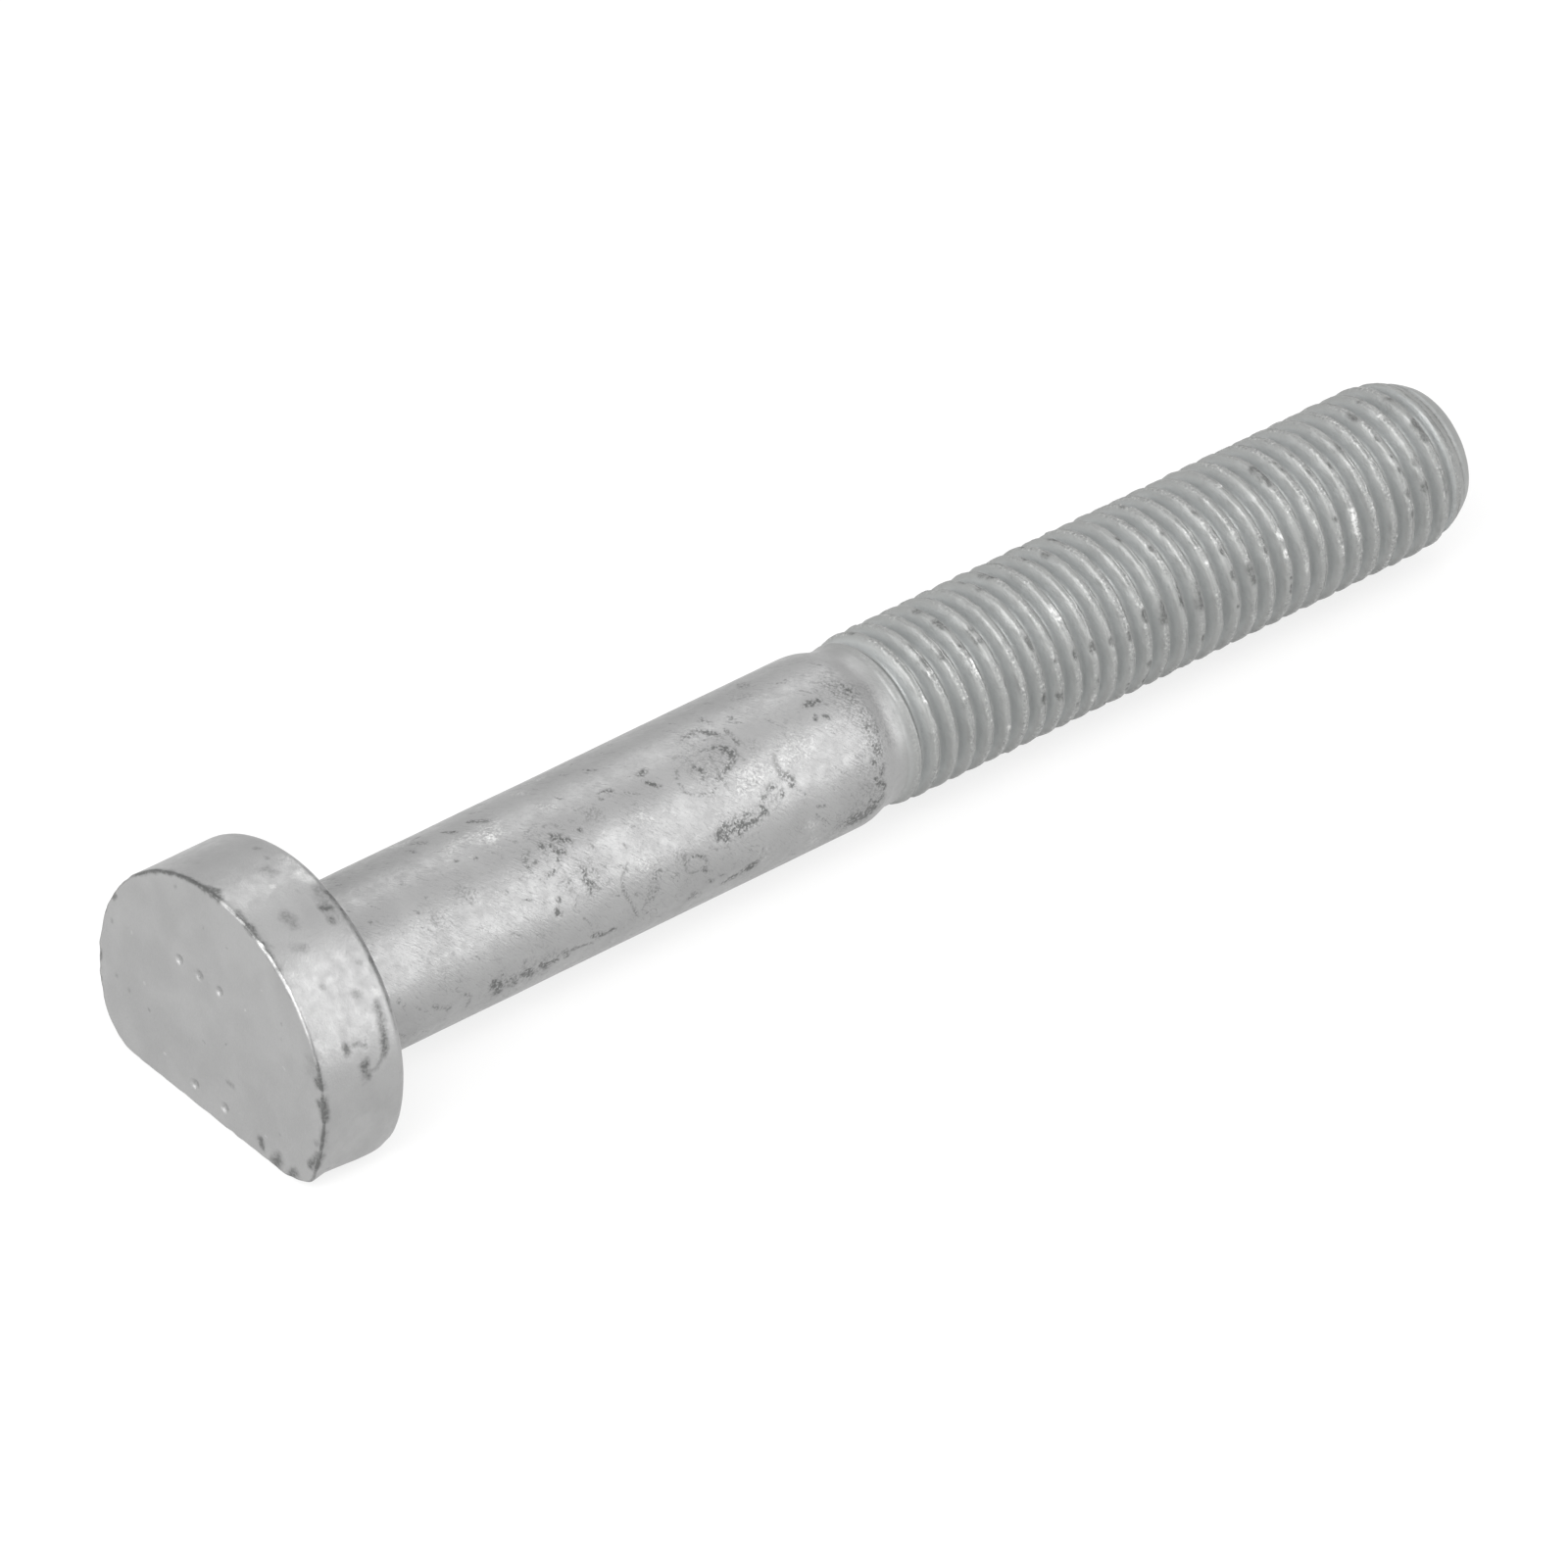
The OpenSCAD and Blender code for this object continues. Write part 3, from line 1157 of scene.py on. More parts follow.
@dataclass
class DrawnBar:
    """Skin that shank and thread share, so that it runs on where the two pieces meet."""

    radius: float = 8.0
    # The shank's piece ends here, and the thread's starts just below its skin.
    seam_x: float = 56.7
    # Marks by kind, as size and then, for each stop, its place along the axis and its
    # angle. Between 60 and 200 degrees they are the photo's: a knot of scratches at 21
    # to 27 mm, a dried drop at 39 to 45 mm with its lower edge darkest, a chain of
    # rubbed spots beside it, and from 55 mm on, where the bar turns down into the neck,
    # dirt and a band of painted shade. The far side, which no camera saw, is marked
    # about as much.
    marks: tuple[Stroke, ...] = (
        *strokes_of(
            Wear.LINE, (1.4, 14, 262, 14.6, 268, 14.3, 275),
            (1.4, 17.9, 72.5, 18.5, 77.5), (1.5, 20.6, 75, 21.6, 81.5),
            (1.5, 23.1, 188.5, 23.5, 195), (1.3, 23.9, 114.5, 23.8, 119.5),
            (1.5, 23.9, 132.5, 23, 135), (1.4, 24.5, 119, 24.6, 124.5),
            (1.2, 25.7, 117.5, 26.5, 121.5), (1.4, 26.2, 187, 27.3, 190, 28.6, 190.5),
            (1.2, 26.4, 139, 26.1, 146, 26.5, 153, 26.3, 157),
            (1, 32.4, 101.8, 33, 105.5), (1.3, 33, 304, 34.6, 300, 35, 294),
            (1.3, 36.1, 108.5, 36.5, 112, 36.9, 115), (1, 38.2, 176.5, 38.6, 179),
            (1, 38.9, 188, 39.5, 190.5), (1.2, 41, 114, 41.3, 118),
            (1.6, 41, 198, 42, 196.5, 43, 195.5), (1.2, 42.4, 153, 42.5, 165.5),
            (1.3, 42.6, 106.5, 43.6, 107, 44.3, 109.5), (1.2, 43.3, 153.5, 44.2, 156.5),
            (1.3, 43.7, 90.5, 44.3, 95, 44.9, 99.5),
            (1.3, 44.3, 160, 45, 159, 45.5, 157),
            (1.3, 44.5, 119, 43.9, 123, 43, 124.5), (1, 47.8, 150, 47.7, 154),
            (1.6, 48.4, 128.5, 48.1, 134, 48.2, 141, 48.4, 144),
            (1, 54, 117.5, 53.8, 120), (1, 54.8, 120.5, 55.1, 122),
            (1, 57, 186, 57.6, 189), (1.2, 58, 106, 58.3, 112),
            (1.5, 59, 139, 58.8, 146, 58.5, 152, 58.5, 158),
        ),
        *strokes_of(
            Wear.HAIRLINE, (1.4, 12.2, 184, 12.8, 189, 12.6, 196),
            (1.3, 13.9, 74, 14.1, 79),
            (1.1, 22.6, 116, 21.4, 122, 21.5, 125, 22.5, 124),
            (1.4, 24, 190, 25.5, 192, 26.4, 194),
            (1.3, 30.7, 149.5, 29.8, 156, 29.6, 164, 30.2, 174, 31, 186),
            (1, 31, 138, 31.2, 142),
            (1.2, 36.3, 168, 36.8, 163.5, 37.8, 165, 38.8, 170,
             38.7, 175, 37.6, 176, 36.7, 174, 36.3, 168),
            (1.3, 39.8, 131, 41.2, 132.5, 41.9, 130.5),
            (1.2, 42.2, 125.5, 42.9, 128, 42.6, 132), (1.2, 45, 183, 44.7, 190),
        ),
        *strokes_of(
            Wear.SMUDGE, (1, 8.6, 181, 10.5, 190), (1.2, 15, 66, 15.6, 74),
            (0.9, 28, 131), (0.9, 28.7, 104), (1.3, 37.3, 195, 37.8, 195),
            (1.3, 42.2, 92.5, 43, 91.5), (1.1, 45, 84, 45.2, 88.5),
            (1.2, 45.9, 109, 46.1, 112), (1, 45.9, 101, 46, 104), (1, 46.4, 153.5),
            (1.2, 49.2, 125, 48.8, 128), (1.8, 51.2, 69.5, 51.6, 66.5),
            (3.4, 55.3, 195.5, 56.2, 199, 57.6, 196), (1.2, 57.6, 113, 58.1, 117),
            # These two smudges at 58.3 and 58.9 mm are partly dirt and partly a band of
            # painted shade before the neck.
            (2.6, 58.3, 112, 58.2, 130, 58.3, 152), (1, 58.9, 118, 59, 130, 59.1, 139),
        ),
        *strokes_of(
            Wear.BLOT, (1.6, 15.4, 187.5, 15.9, 191, 16.1, 196.5),
            (1.5, 17.3, 191, 17.8, 196), (0.7, 17.8, 105),
            (1.6, 18.8, 191.5, 19.3, 194.5), (1.2, 20.7, 191, 21.6, 195, 22.3, 193),
            (0.9, 22.6, 157.5, 22.7, 159.5), (0.7, 23, 151), (0.8, 24.6, 128),
            (1.2, 25.2, 114.5, 25.7, 117.5), (0.9, 25.2, 124.5, 25.3, 126),
            (0.8, 26.6, 151, 26.9, 151.5), (0.7, 27.9, 117.8),
            (1.3, 31, 300, 31.8, 303), (0.9, 36.2, 102, 36.8, 100.8),
            (1, 40.3, 160.5, 40.6, 158), (0.8, 41, 122), (2, 41, 157, 42, 158),
            (1, 41.2, 164, 40.8, 160), (1.5, 42.9, 160, 43.9, 160.5),
            (1.2, 43, 195.5, 44.4, 193.5), (0.9, 44.3, 94.5, 44.5, 97),
            (1.35, 44.5, 110.5, 44.8, 114.5, 44.6, 119), (0.9, 45.5, 159, 45.3, 153.5),
            (0.8, 45.6, 149.5, 45.9, 150), (1, 46.4, 146.5, 46.9, 145.8),
            (1.2, 48.6, 143.5, 48.9, 150), (1.2, 52.2, 15, 53, 18),
            (0.9, 53.8, 108.5, 55.2, 109.5), (2.4, 55.4, 198, 56.4, 199.5, 57.5, 197),
            (1.4, 57.2, 194, 58.2, 190), (0.9, 57.5, 160, 57.7, 163),
            (1, 57.6, 171.5, 57.8, 176), (1, 58, 150, 58.3, 153),
            (0.9, 58.4, 178.5, 58.6, 181), (1, 58.5, 167, 58.3, 170),
        ),
        *strokes_of(Wear.SCUFF, (0.7, 17.6, 102.5), (1.4, 20.3, 95.5, 21, 96)),
        *strokes_of(
            Wear.TORN, (1.3, 17, 90, 19, 88), (1.8, 20, 93, 21.3, 90),
            (1.8, 44, 140, 47, 132, 51, 130),
        ),
        *strokes_of(
            Wear.OUTLINE,
            (1.1, 22.6, 109, 23.2, 105.5, 24.4, 101.5, 25,
             102, 24.2, 106, 23, 109.5, 22.6, 109),
            (1.2, 24.9, 154, 24.5, 160, 24.8, 165), (1, 25, 169, 25.8, 175, 25.9, 178),
            (1.3, 33.3, 160, 32.4, 170, 31.8, 182, 32.6, 181, 33.2, 173, 33.3, 160),
            (1.4, 41, 101.5, 39.8, 102.5, 39.4, 110, 38.7, 118, 38.8, 126, 39.8, 131),
            (1.2, 50.3, 119, 50.2, 127), (1.2, 50.9, 170.5, 52, 173.5),
            (1.2, 51, 178, 51.8, 184),
        ),
        *strokes_of(
            Wear.STAIN, (1.5, 16.2, 190, 18, 195, 21.5, 194),
            (1.6, 24.6, 118, 24.9, 122), (1.4, 26, 245, 28.5, 252),
            (1.3, 26.3, 143, 26.5, 152), (0.7, 33, 166, 32.4, 178),
            (1.4, 41.5, 157, 44, 160, 46.5, 149), (2.4, 42.3, 108, 42.5, 118),
            # The stains at 57.2 to 58 mm that run round from 104 to 180 degrees are partly
            # dirt and partly a band of painted shade before the neck.
            (2.2, 54.6, 199, 57.4, 195), (1.6, 57.4, 150, 57.2, 165, 57.4, 180),
            (1.7, 57.5, 104, 57.8, 112, 57.6, 120),
            (1.8, 57.9, 124, 58, 136, 57.9, 148),
            (1.2, 60.3, 118, 60.3, 135, 60.2, 150),
        ),
        *strokes_of(
            Wear.SCRAWL, (1.8, 22.2, 121, 26.5, 119), (2, 25.6, 138, 27.6, 150),
            (2.4, 42.5, 104, 42.5, 120), (2, 57.4, 104, 57.4, 130, 57.2, 190),
        ),
        ring(Wear.HAIRLINE, (32.2, 104.0), (0.8, 2.8)),
        ring(Wear.HAIRLINE, (46.5, 335.0), (1.3, 7.0)),
        ring(Wear.OUTLINE, (22.0, 20.0), (0.9, 6.0)),
    )  # fmt: skip
    # Random waves of the skin, from the widest to the finest.
    waves: tuple[Lumps, ...] = (
        Lumps(6.0, 41, 0.013), Lumps(1.9, 42, 0.0045), Lumps(0.9, 43, 0.0025),
    )  # fmt: skip
    # Faint scratches lie in patches all over the bar, this thickly at the most.
    faint_scratches: float = 0.40
    faint_patches: Patches = Patches(3.0, 19, -0.35, 0.5)
    # Random marks of the whole bar. Most run askew, as straightening rolls left them.
    strewn: tuple[Strewn, ...] = (
        Strewn(Wear.OUTLINE, 150, (2, 0), (58, 360), 71, (0.5, 3.4)),
        Strewn(Wear.HAIRLINE, 60, (2, 0), (58, 360), 76, (0.4, 2.8), (0.6, 1.0)),
        Strewn(Wear.SMUDGE, 70, (2, 0), (58, 360), 72, sizes=(0.3, 0.8)),
        Strewn(Wear.STAIN, 14, (2, 0), (58, 360), 73, (0.5, 3.0)),
        Strewn(Wear.SCRAWL, 26, (2, 0), (58, 360), 74, (0.5, 3.0), (0.6, 1.3)),
        Strewn(Wear.TORN, 30, (2, 0), (58, 360), 75, (0.5, 3.0), (0.5, 1.2)),
    )
    # Over this length the straightening marks climb sideways as far as they run along.
    stretch: float = 2.0

    def flow(self, place: np.ndarray) -> np.ndarray:
        """Untwists and shortens the bar, so that patterns read there run long and askew.

        Args:
            place: Points of the bar in mm.

        Returns:
            The place at which each point reads its running patterns.
        """
        turn = np.arctan2(place[:, 2], place[:, 1]) - place[:, 0] / self.radius
        radius = np.linalg.norm(place[:, 1:], axis=1)
        return around_axis(place[:, 0] / self.stretch, radius, turn)

    def relief(self, place: np.ndarray) -> Relief:
        """Draws the bar's marks on a set of points in mm."""
        relief = Relief.blank(len(place))
        for stroke in (*self.marks, *all_strokes(self.strewn)):
            relief.draw(place, stroke.on_round(self.radius), stroke)
        faint = self.faint_scratches * self.faint_patches.at(place)
        relief.scrawl = np.maximum(relief.scrawl, faint)
        return relief

    def wave(self, place: np.ndarray) -> np.ndarray:
        """Gives the random height of the drawn skin at a set of points in mm."""
        return sum(lumps.at(place) for lumps in self.waves)


@dataclass
class PlainShank:
    """The full-bodied shank, with the fillet that seats it under the head."""

    bar: DrawnBar
    seat_r: float = 0.6
    # The piece starts inside the head, where its flat cuts the fillet.
    start_x: float = -0.9
    head_flat: float = 8.25
    around: int = 288
    seat_rings: int = 8
    step: float = 0.205
    # The skin's relief is full from this place along the axis on.
    relief_x: float = 2.0

    def build(self, material: bpy.types.Material) -> bpy.types.Object:
        """Builds the shank with its relief.

        Args:
            material: Finish of the shank.

        Returns:
            The shank as a closed piece, with one end in the head and one in the thread.
        """
        quarter = np.linspace(0, math.pi / 2, self.seat_rings)
        top = self.bar.radius + self.seat_r
        count = int((self.bar.seam_x - self.seat_r) / self.step)
        long_x = np.linspace(self.seat_r, self.bar.seam_x, count)[1:]
        seat_x, seat = self.seat_r * (1 - np.cos(quarter)), self.seat_r * np.sin(quarter)
        x = np.concatenate([[self.start_x], seat_x, long_x])
        r = np.concatenate([[top], top - seat, np.full(len(long_x), self.bar.radius)])
        turns = np.linspace(0, 2 * math.pi, self.around, endpoint=False)
        angle = np.tile(turns, len(x))
        along, radius = np.repeat(x, self.around), np.repeat(r, self.around)
        below = np.maximum(-np.sin(angle), LEAST_SINE)
        radius = np.minimum(radius, self.head_flat / below)
        place = around_axis(along, radius, angle)
        relief = self.bar.relief(place)
        shown = smooth_step(along, self.seat_r, self.relief_x)
        rise = (self.bar.wave(place) - relief.depth) * shown
        place = around_axis(along, radius + rise, angle)
        faces = grid_faces(len(x), self.around)
        skin = Skin(place, faces, relief.layers(1.0), self.bar.flow(place))
        return skin.piece("plain_shank", material)


@dataclass
class RolledThread:
    """Shoulder, neck and rolled thread, drawn as one spiral sheet of faces.

    The sheet winds round the bolt as the thread does, and its rows follow the root,
    flanks and crest of the thread.
    """

    bar: DrawnBar
    neck_r: float = 7.35
    root_r: float = 6.66
    crest_r: float = 7.80
    pitch: float = 2.0
    # A place along the axis where a root crosses the angle 0.
    root_x: float = 60.706
    run_in: Pair = (61.3, 63.9)
    around: int = 160
    # Rows of the sheet over one pitch, from root to root.
    rows: tuple[float, ...] = (
        0.0, 0.06, 0.13, 0.22, 0.30, 0.36, 0.405, 0.45,
        0.5, 0.55, 0.595, 0.64, 0.70, 0.78, 0.87, 0.94,
    )  # fmt: skip
    # Radius of the body below the thread, from the shank over its shoulder to the neck.
    shoulder: Stops = (
        (56.9, 8.0), (57.9, 7.985), (58.7, 7.90), (59.5, 7.68),
        (60.3, 7.44), (60.9, 7.36), (61.5, 7.35),
    )  # fmt: skip
    # Radius of the chamfered end, which trims the thread.
    cap: Stops = (
        (109.5, 9.5), (119.5, 8.4), (121.7, 7.92), (123.1, 7.62), (123.8, 7.44),
        (124.8, 7.08), (125.6, 6.70), (126.2, 6.36), (126.5, 6.16),
    )  # fmt: skip
    # Section of the thread over one pitch: place, and height from root to crest.
    profile: Stops = (
        (0.0, 0.0), (0.04, 0.01), (0.08, 0.07), (0.13, 0.21), (0.22, 0.50),
        (0.31, 0.79), (0.355, 0.92), (0.39, 0.98), (0.43, 1.0), (0.57, 1.0),
        (0.61, 0.98), (0.645, 0.92), (0.69, 0.79), (0.78, 0.50), (0.87, 0.21),
        (0.92, 0.07), (0.96, 0.01), (1.0, 0.0),
    )  # fmt: skip
    # The closed start inside the shank and the end face: place and radius, in mm.
    start: Stops = (
        (55.9, 0.0), (55.9, 7.6), (56.25, 7.95), (56.4, 7.996),
    )  # fmt: skip
    end: Stops = (
        (126.5, 6.16), (126.75, 5.98), (126.92, 5.78), (127.0, 5.50), (126.98, 5.1),
        (126.90, 3.5), (126.83, 1.5), (126.80, 0.0),
    )  # fmt: skip
    # Step in mm that a turn of the sheet takes over the start and over the end face.
    start_step: float = 8.0
    end_step: float = 4.5
    # Turns of the sheet before the thread and after it, and those over which its step
    # goes from the one to the other.
    spare_turns: Pair = (9.0, 6.0)
    step_turns: float = 0.5
    # Size in mm of the round turn where the chamfer trims the thread.
    trim_r: float = 0.07
    # Just past the seam the sheet lies this far below the shank's skin, over a length.
    seam_drop: float = 0.004
    seam_length: float = 1.2
    # Marks on the crests by kind, as size and then, for each stop, its place along the
    # axis and its angle.
    marks: tuple[Stroke, ...] = (
        *strokes_of(
            Wear.PIT, (1.3, 66.3, 118.2), (1.6, 68.1, 118.9, 68.3, 117),
            (1.2, 69.99, 74.8, 70, 78), (1.1, 76.17, 66.6, 76.2, 70),
            (1.1, 76.5, 131, 76.6, 137.5), (1.1, 76.67, 172, 76.67, 176.5),
            (1, 77.9, 69, 77.85, 71), (1.2, 78.14, 77, 78.15, 79),
            (1.2, 78.45, 178.5, 78.46, 180), (0.7, 78.5, 152.5),
            (1, 80.55, 153.5, 80.55, 157), (1.1, 82.19, 76.1),
            (1.2, 82.57, 152.5, 82.57, 157.5), (0.8, 82.7, 179.6),
            (1.4, 83.78, 82.5, 83.8, 79.5), (1.1, 84.56, 156.5, 84.57, 159.5),
            (1.1, 86.62, 158, 86.62, 162), (1.1, 88.57, 149.5, 88.57, 154),
            (1.4, 105.8, 97.9, 105.9, 102), (1.5, 118.05, 86.5, 118.1, 92),
            (1.3, 122.2, 88.5, 122.2, 91.5), (1, 123.8, 172, 123.9, 175),
            (1, 124.9, 160),
        ),
        *strokes_of(
            Wear.BLOT, (0.9, 65.9, 121, 66, 122.5), (1, 70.1, 94, 70.1, 99.5),
            (1, 72, 110.5, 71.9, 115, 72, 119.5), (1.1, 90.6, 149, 90.6, 160),
            (1, 92.77, 145, 92.8, 156), (1.1, 94.55, 146, 94.65, 163),
            (0.8, 98.55, 150.5, 98.55, 153.5), (1.1, 120.4, 155.5, 120.4, 158.5),
            (1.1, 122.3, 114.5, 122.3, 128), (1.1, 124.4, 92, 124.6, 95),
            (1.2, 124.6, 66, 124.8, 72),
        ),
        *strokes_of(
            Wear.SMUDGE, (1, 66.26, 102.9), (1.6, 114.3, 108, 114.3, 112),
            (1.2, 119, 125.4, 119.1, 129), (1.2, 120.5, 136, 120.5, 139.5),
            (1.5, 123.1, 155, 123.1, 165), (1.6, 123.9, 118, 124.3, 132, 124, 141),
            (2.8, 125.4, 40, 125.5, 100, 125.4, 160, 125.5, 230),
        ),
        *strokes_of(Wear.SCUFF, (0.8, 72.35, 115)),
        *strokes_of(
            Wear.CHIP, (0.9, 64.55, 136, 64.6, 139.4), (0.7, 70.45, 128, 70.55, 139),
            (1, 80.3, 120.4, 80.42, 129), (0.9, 96.43, 137, 96.43, 139),
            (1, 104.5, 141.5, 104.6, 144.5), (0.9, 104.6, 154, 104.6, 156.5),
            (1, 106.57, 169.5, 106.57, 173), (0.9, 108.5, 144, 108.5, 147),
            (1.1, 112.35, 149, 112.4, 165), (0.9, 123.3, 102, 123.5, 110),
        ),
        *strokes_of(
            Wear.STAIN, (1.2, 122, 84, 122.2, 96),
            (1.5, 124.8, 50, 125.2, 100, 124.9, 150, 125, 210),
        ),
        *strokes_of(
            Wear.LINE, (1.4, 100.5, 151, 100.6, 164),
            (1.2, 125.9, 75, 126.1, 110, 126, 150, 126.1, 185),
        ),
        ring(Wear.BLOT, (66.25, 118.2), (0.50, 3.2)),
        ring(Wear.LINE, (70.3, 96.5), (0.34, 3.0)),
        ring(Wear.LINE, (72.2, 115.0), (0.42, 4.6)),
        ring(Wear.BLOT, (106.1, 99.0), (0.65, 6.0)),
    )  # fmt: skip
    # Random pits and chips along the line where the crests closed in rolling: how many,
    # over which turns, how far off the line in mm, which share are pits, how many
    # degrees each kind is long, and how large they are.
    crest_marks: int = 170
    crest_seed: int = 59
    crest_turns: Pair = (0.8, 31.5)
    crest_stray: float = 0.09
    pit_share: float = 0.85
    pit_degrees: Pair = (0.3, 1.6)
    chip_degrees: Pair = (0.5, 5.0)
    crest_sizes: Pair = (0.45, 0.95)
    # Places in mm between which the thread runs out, the drawn skin ends and the
    # thread's coat begins, and heights between which a flank becomes a crest.
    run_out: Pair = (126.5, 124.5)
    skin_end: Pair = (60.5, 57.0)
    coat_start: Pair = (60.0, 63.0)
    crest_heights: Pair = (0.75, 1.0)
    # The end face's middle is smooth up to the first of these radii in mm.
    smooth_middle: Pair = (1.0, 4.0)
    # Random heights of the neck, of the thread and, on top of it, of its crests, and
    # how far the crests' edges wander along the axis.
    neck_skin: Lumps = Lumps(4.0, 44, 0.02)
    thread_skin: Lumps = Lumps(1.5, 45, 0.022)
    crest_skin: tuple[Lumps, ...] = (Lumps(1.1, 46, 0.05), Lumps(0.5, 50, 0.035))
    crest_slide: tuple[Lumps, ...] = (Lumps(1.1, 48, 0.02), Lumps(0.6, 51, 0.09))
    # Lines that wind along with the thread, each by its phase and half width, as shares
    # of the pitch: the crease in the crest and the dirt that it holds, the crest's bare
    # edge with a painted highlight, painted light low on the flank above the root, and
    # painted shade at the groove's bottom, half a pitch further on.
    crease: Pair = (0.53, 0.03)
    crease_dirt: Pair = (0.555, 0.03)
    bare_edge_and_highlight: Pair = (0.415, 0.028)
    painted_light_band: Pair = (0.15, 0.10)
    groove_shade_band: Pair = (0.45, 0.065)
    # Where they come and go, and where the crests' coat is gritty.
    crease_patches: Patches = Patches(3.2, 47, -0.5, 0.3)
    dirt_patches: Patches = Patches(1.6, 53, -0.4, 0.5)
    edge_patches: Patches = Patches(0.8, 49, -0.1, 0.6)
    grit_patches: Patches = Patches(2.2, 52, -0.7, 0.5)
    crease_depth: float = 0.11
    # Strength of the bare edge and its painted highlight along the crests.
    edge_shine_and_highlight: float = 0.28
    # Strength of the painted shade at each groove's bottom, and the share of it and of the
    # crease's dirt that the coat takes.
    groove_shade_strength: float = 0.95
    crease_dirt_and_shade: float = 0.55
    grain: float = 0.55

    def sheet(self) -> tuple[np.ndarray, np.ndarray]:
        """Spreads the sheet's points along the bolt.

        Returns:
            Two tables with one line per column of the sheet and one entry per row: the
            sheet's length in mm, and the angle about the axis in radians.
        """
        seam, end = self.start[-1][0], self.end[0][0]
        begin = seam - path_length(np.array(self.start))[-1]
        finish = end + path_length(np.array(self.end))[-1]
        # Turns from the point where the start has closed up to the pitch.
        opened = (end - seam) / self.pitch
        before, after = self.spare_turns
        ramp = self.step_turns
        turns = [-before, -ramp, 0, opened, opened + ramp, opened + after]
        steps = np.repeat([self.start_step, self.pitch, self.end_step], 2)
        fine = np.linspace(turns[0], turns[-1], FINE_STEPS)
        rate = np.interp(fine, turns, steps)
        length = np.cumsum(rate) * (fine[1] - fine[0])
        length += seam - np.interp(0.0, fine, length)
        first = float(np.interp(begin, length, fine)) - 1
        total = float(np.interp(finish, length, fine)) + 1 - first
        # The rows keep the thread's phase: each turn starts on a root at the angle 0.
        phase = (seam - self.root_x) / self.pitch
        first = math.floor(first + phase) - phase
        column = np.arange(int(math.ceil((total + 1) * self.around)))[:, None]
        turn = first + column / self.around + np.array(self.rows)[None, :]
        spread = np.clip(np.interp(turn, fine, length), begin, finish)
        angle = np.broadcast_to(2 * math.pi * column / self.around, spread.shape)
        return spread, angle

    def faces(self, columns: int) -> list[Sequence[int]]:
        """Joins each column to the next, and each turn's last row to the next turn.

        Args:
            columns: How many columns the sheet has.

        Returns:
            The faces, as indices of points that run column by column.
        """
        rows = len(self.rows)
        column, row = np.meshgrid(np.arange(columns - 1), np.arange(rows), indexing="ij")
        here = column * rows + row
        above = np.where(row == rows - 1, (column + self.around) * rows, here + 1)
        quads = np.stack([here, here + rows, above + rows, above], axis=-1)
        return quads[(above + rows) < columns * rows].tolist()

    def section(
        self, spread: np.ndarray, angle: np.ndarray
    ) -> tuple[np.ndarray, np.ndarray, np.ndarray, np.ndarray]:
        """Gives the thread's section at each point of the sheet.

        Args:
            spread: The sheet's length in mm.
            angle: The angle about the axis in radians.

        Returns:
            The place along the axis, the radius, the thread's height from 0 at the root
            to 1 at the crest, and the phase from root to root.
        """
        start, end = np.array(self.start), np.array(self.end)
        start_s = path_length(start) + start[-1][0] - path_length(start)[-1]
        end_s = path_length(end) + end[0][0]
        fine = np.linspace(end_s[0], end_s[-1], END_STEPS)
        end_x, end_r = (smooth_curve(list(zip(end_s, end[:, i])), fine) for i in (0, 1))
        knots_s, knots_x = [*start_s, *fine], [*start[:, 0], *end_x]
        x = np.interp(spread, knots_s, knots_x)
        seam = self.bar.seam_x
        drop = self.seam_drop * smooth_step(spread, seam + self.seam_length, seam)
        body = np.where(
            spread < start_s[-1],
            np.interp(spread, start_s, start[:, 1]),
            smooth_curve(self.shoulder, spread) - drop,
        )
        cap = np.where(
            spread < self.cap[-1][0],
            smooth_curve(self.cap, spread),
            np.interp(spread, fine, end_r),
        )
        phase = ((spread - self.root_x) / self.pitch - angle / (2 * math.pi)) % 1
        height = smooth_curve(self.profile, phase)
        growth = smooth_step(spread, *self.run_in)
        rolled = self.root_r + (self.crest_r - self.root_r) * height
        radius = soft_minimum(body + growth * (rolled - self.neck_r), cap, self.trim_r)
        # Each end closes in a single point on the axis.
        for closed, at in ((body < ON_AXIS, start[0][0]), (cap < ON_AXIS, end[-1][0])):
            x, radius = np.where(closed, at, x), np.where(closed, 0.0, radius)
        return x, np.maximum(radius, 0.0), height, phase

    def crest_strokes(self) -> list[Stroke]:
        """Lists the crests' marks, with random pits along the line where a crest closed."""
        random = np.random.default_rng(self.crest_seed)
        found = list(self.marks)
        for _ in range(self.crest_marks):
            turn = random.uniform(*self.crest_turns)
            x = self.root_x + self.pitch * (turn + 0.5) + random.normal(0, self.crest_stray)
            kind = Wear.PIT if random.random() < self.pit_share else Wear.CHIP
            start = 360 * (turn % 1)
            degrees = self.pit_degrees if kind is Wear.PIT else self.chip_degrees
            length = random.uniform(*degrees)
            stops = ((x, start), (x + self.pitch * length / 360, start + length))
            size = float(random.uniform(*self.crest_sizes))
            found.append(Stroke(kind, size, stops))
        return found

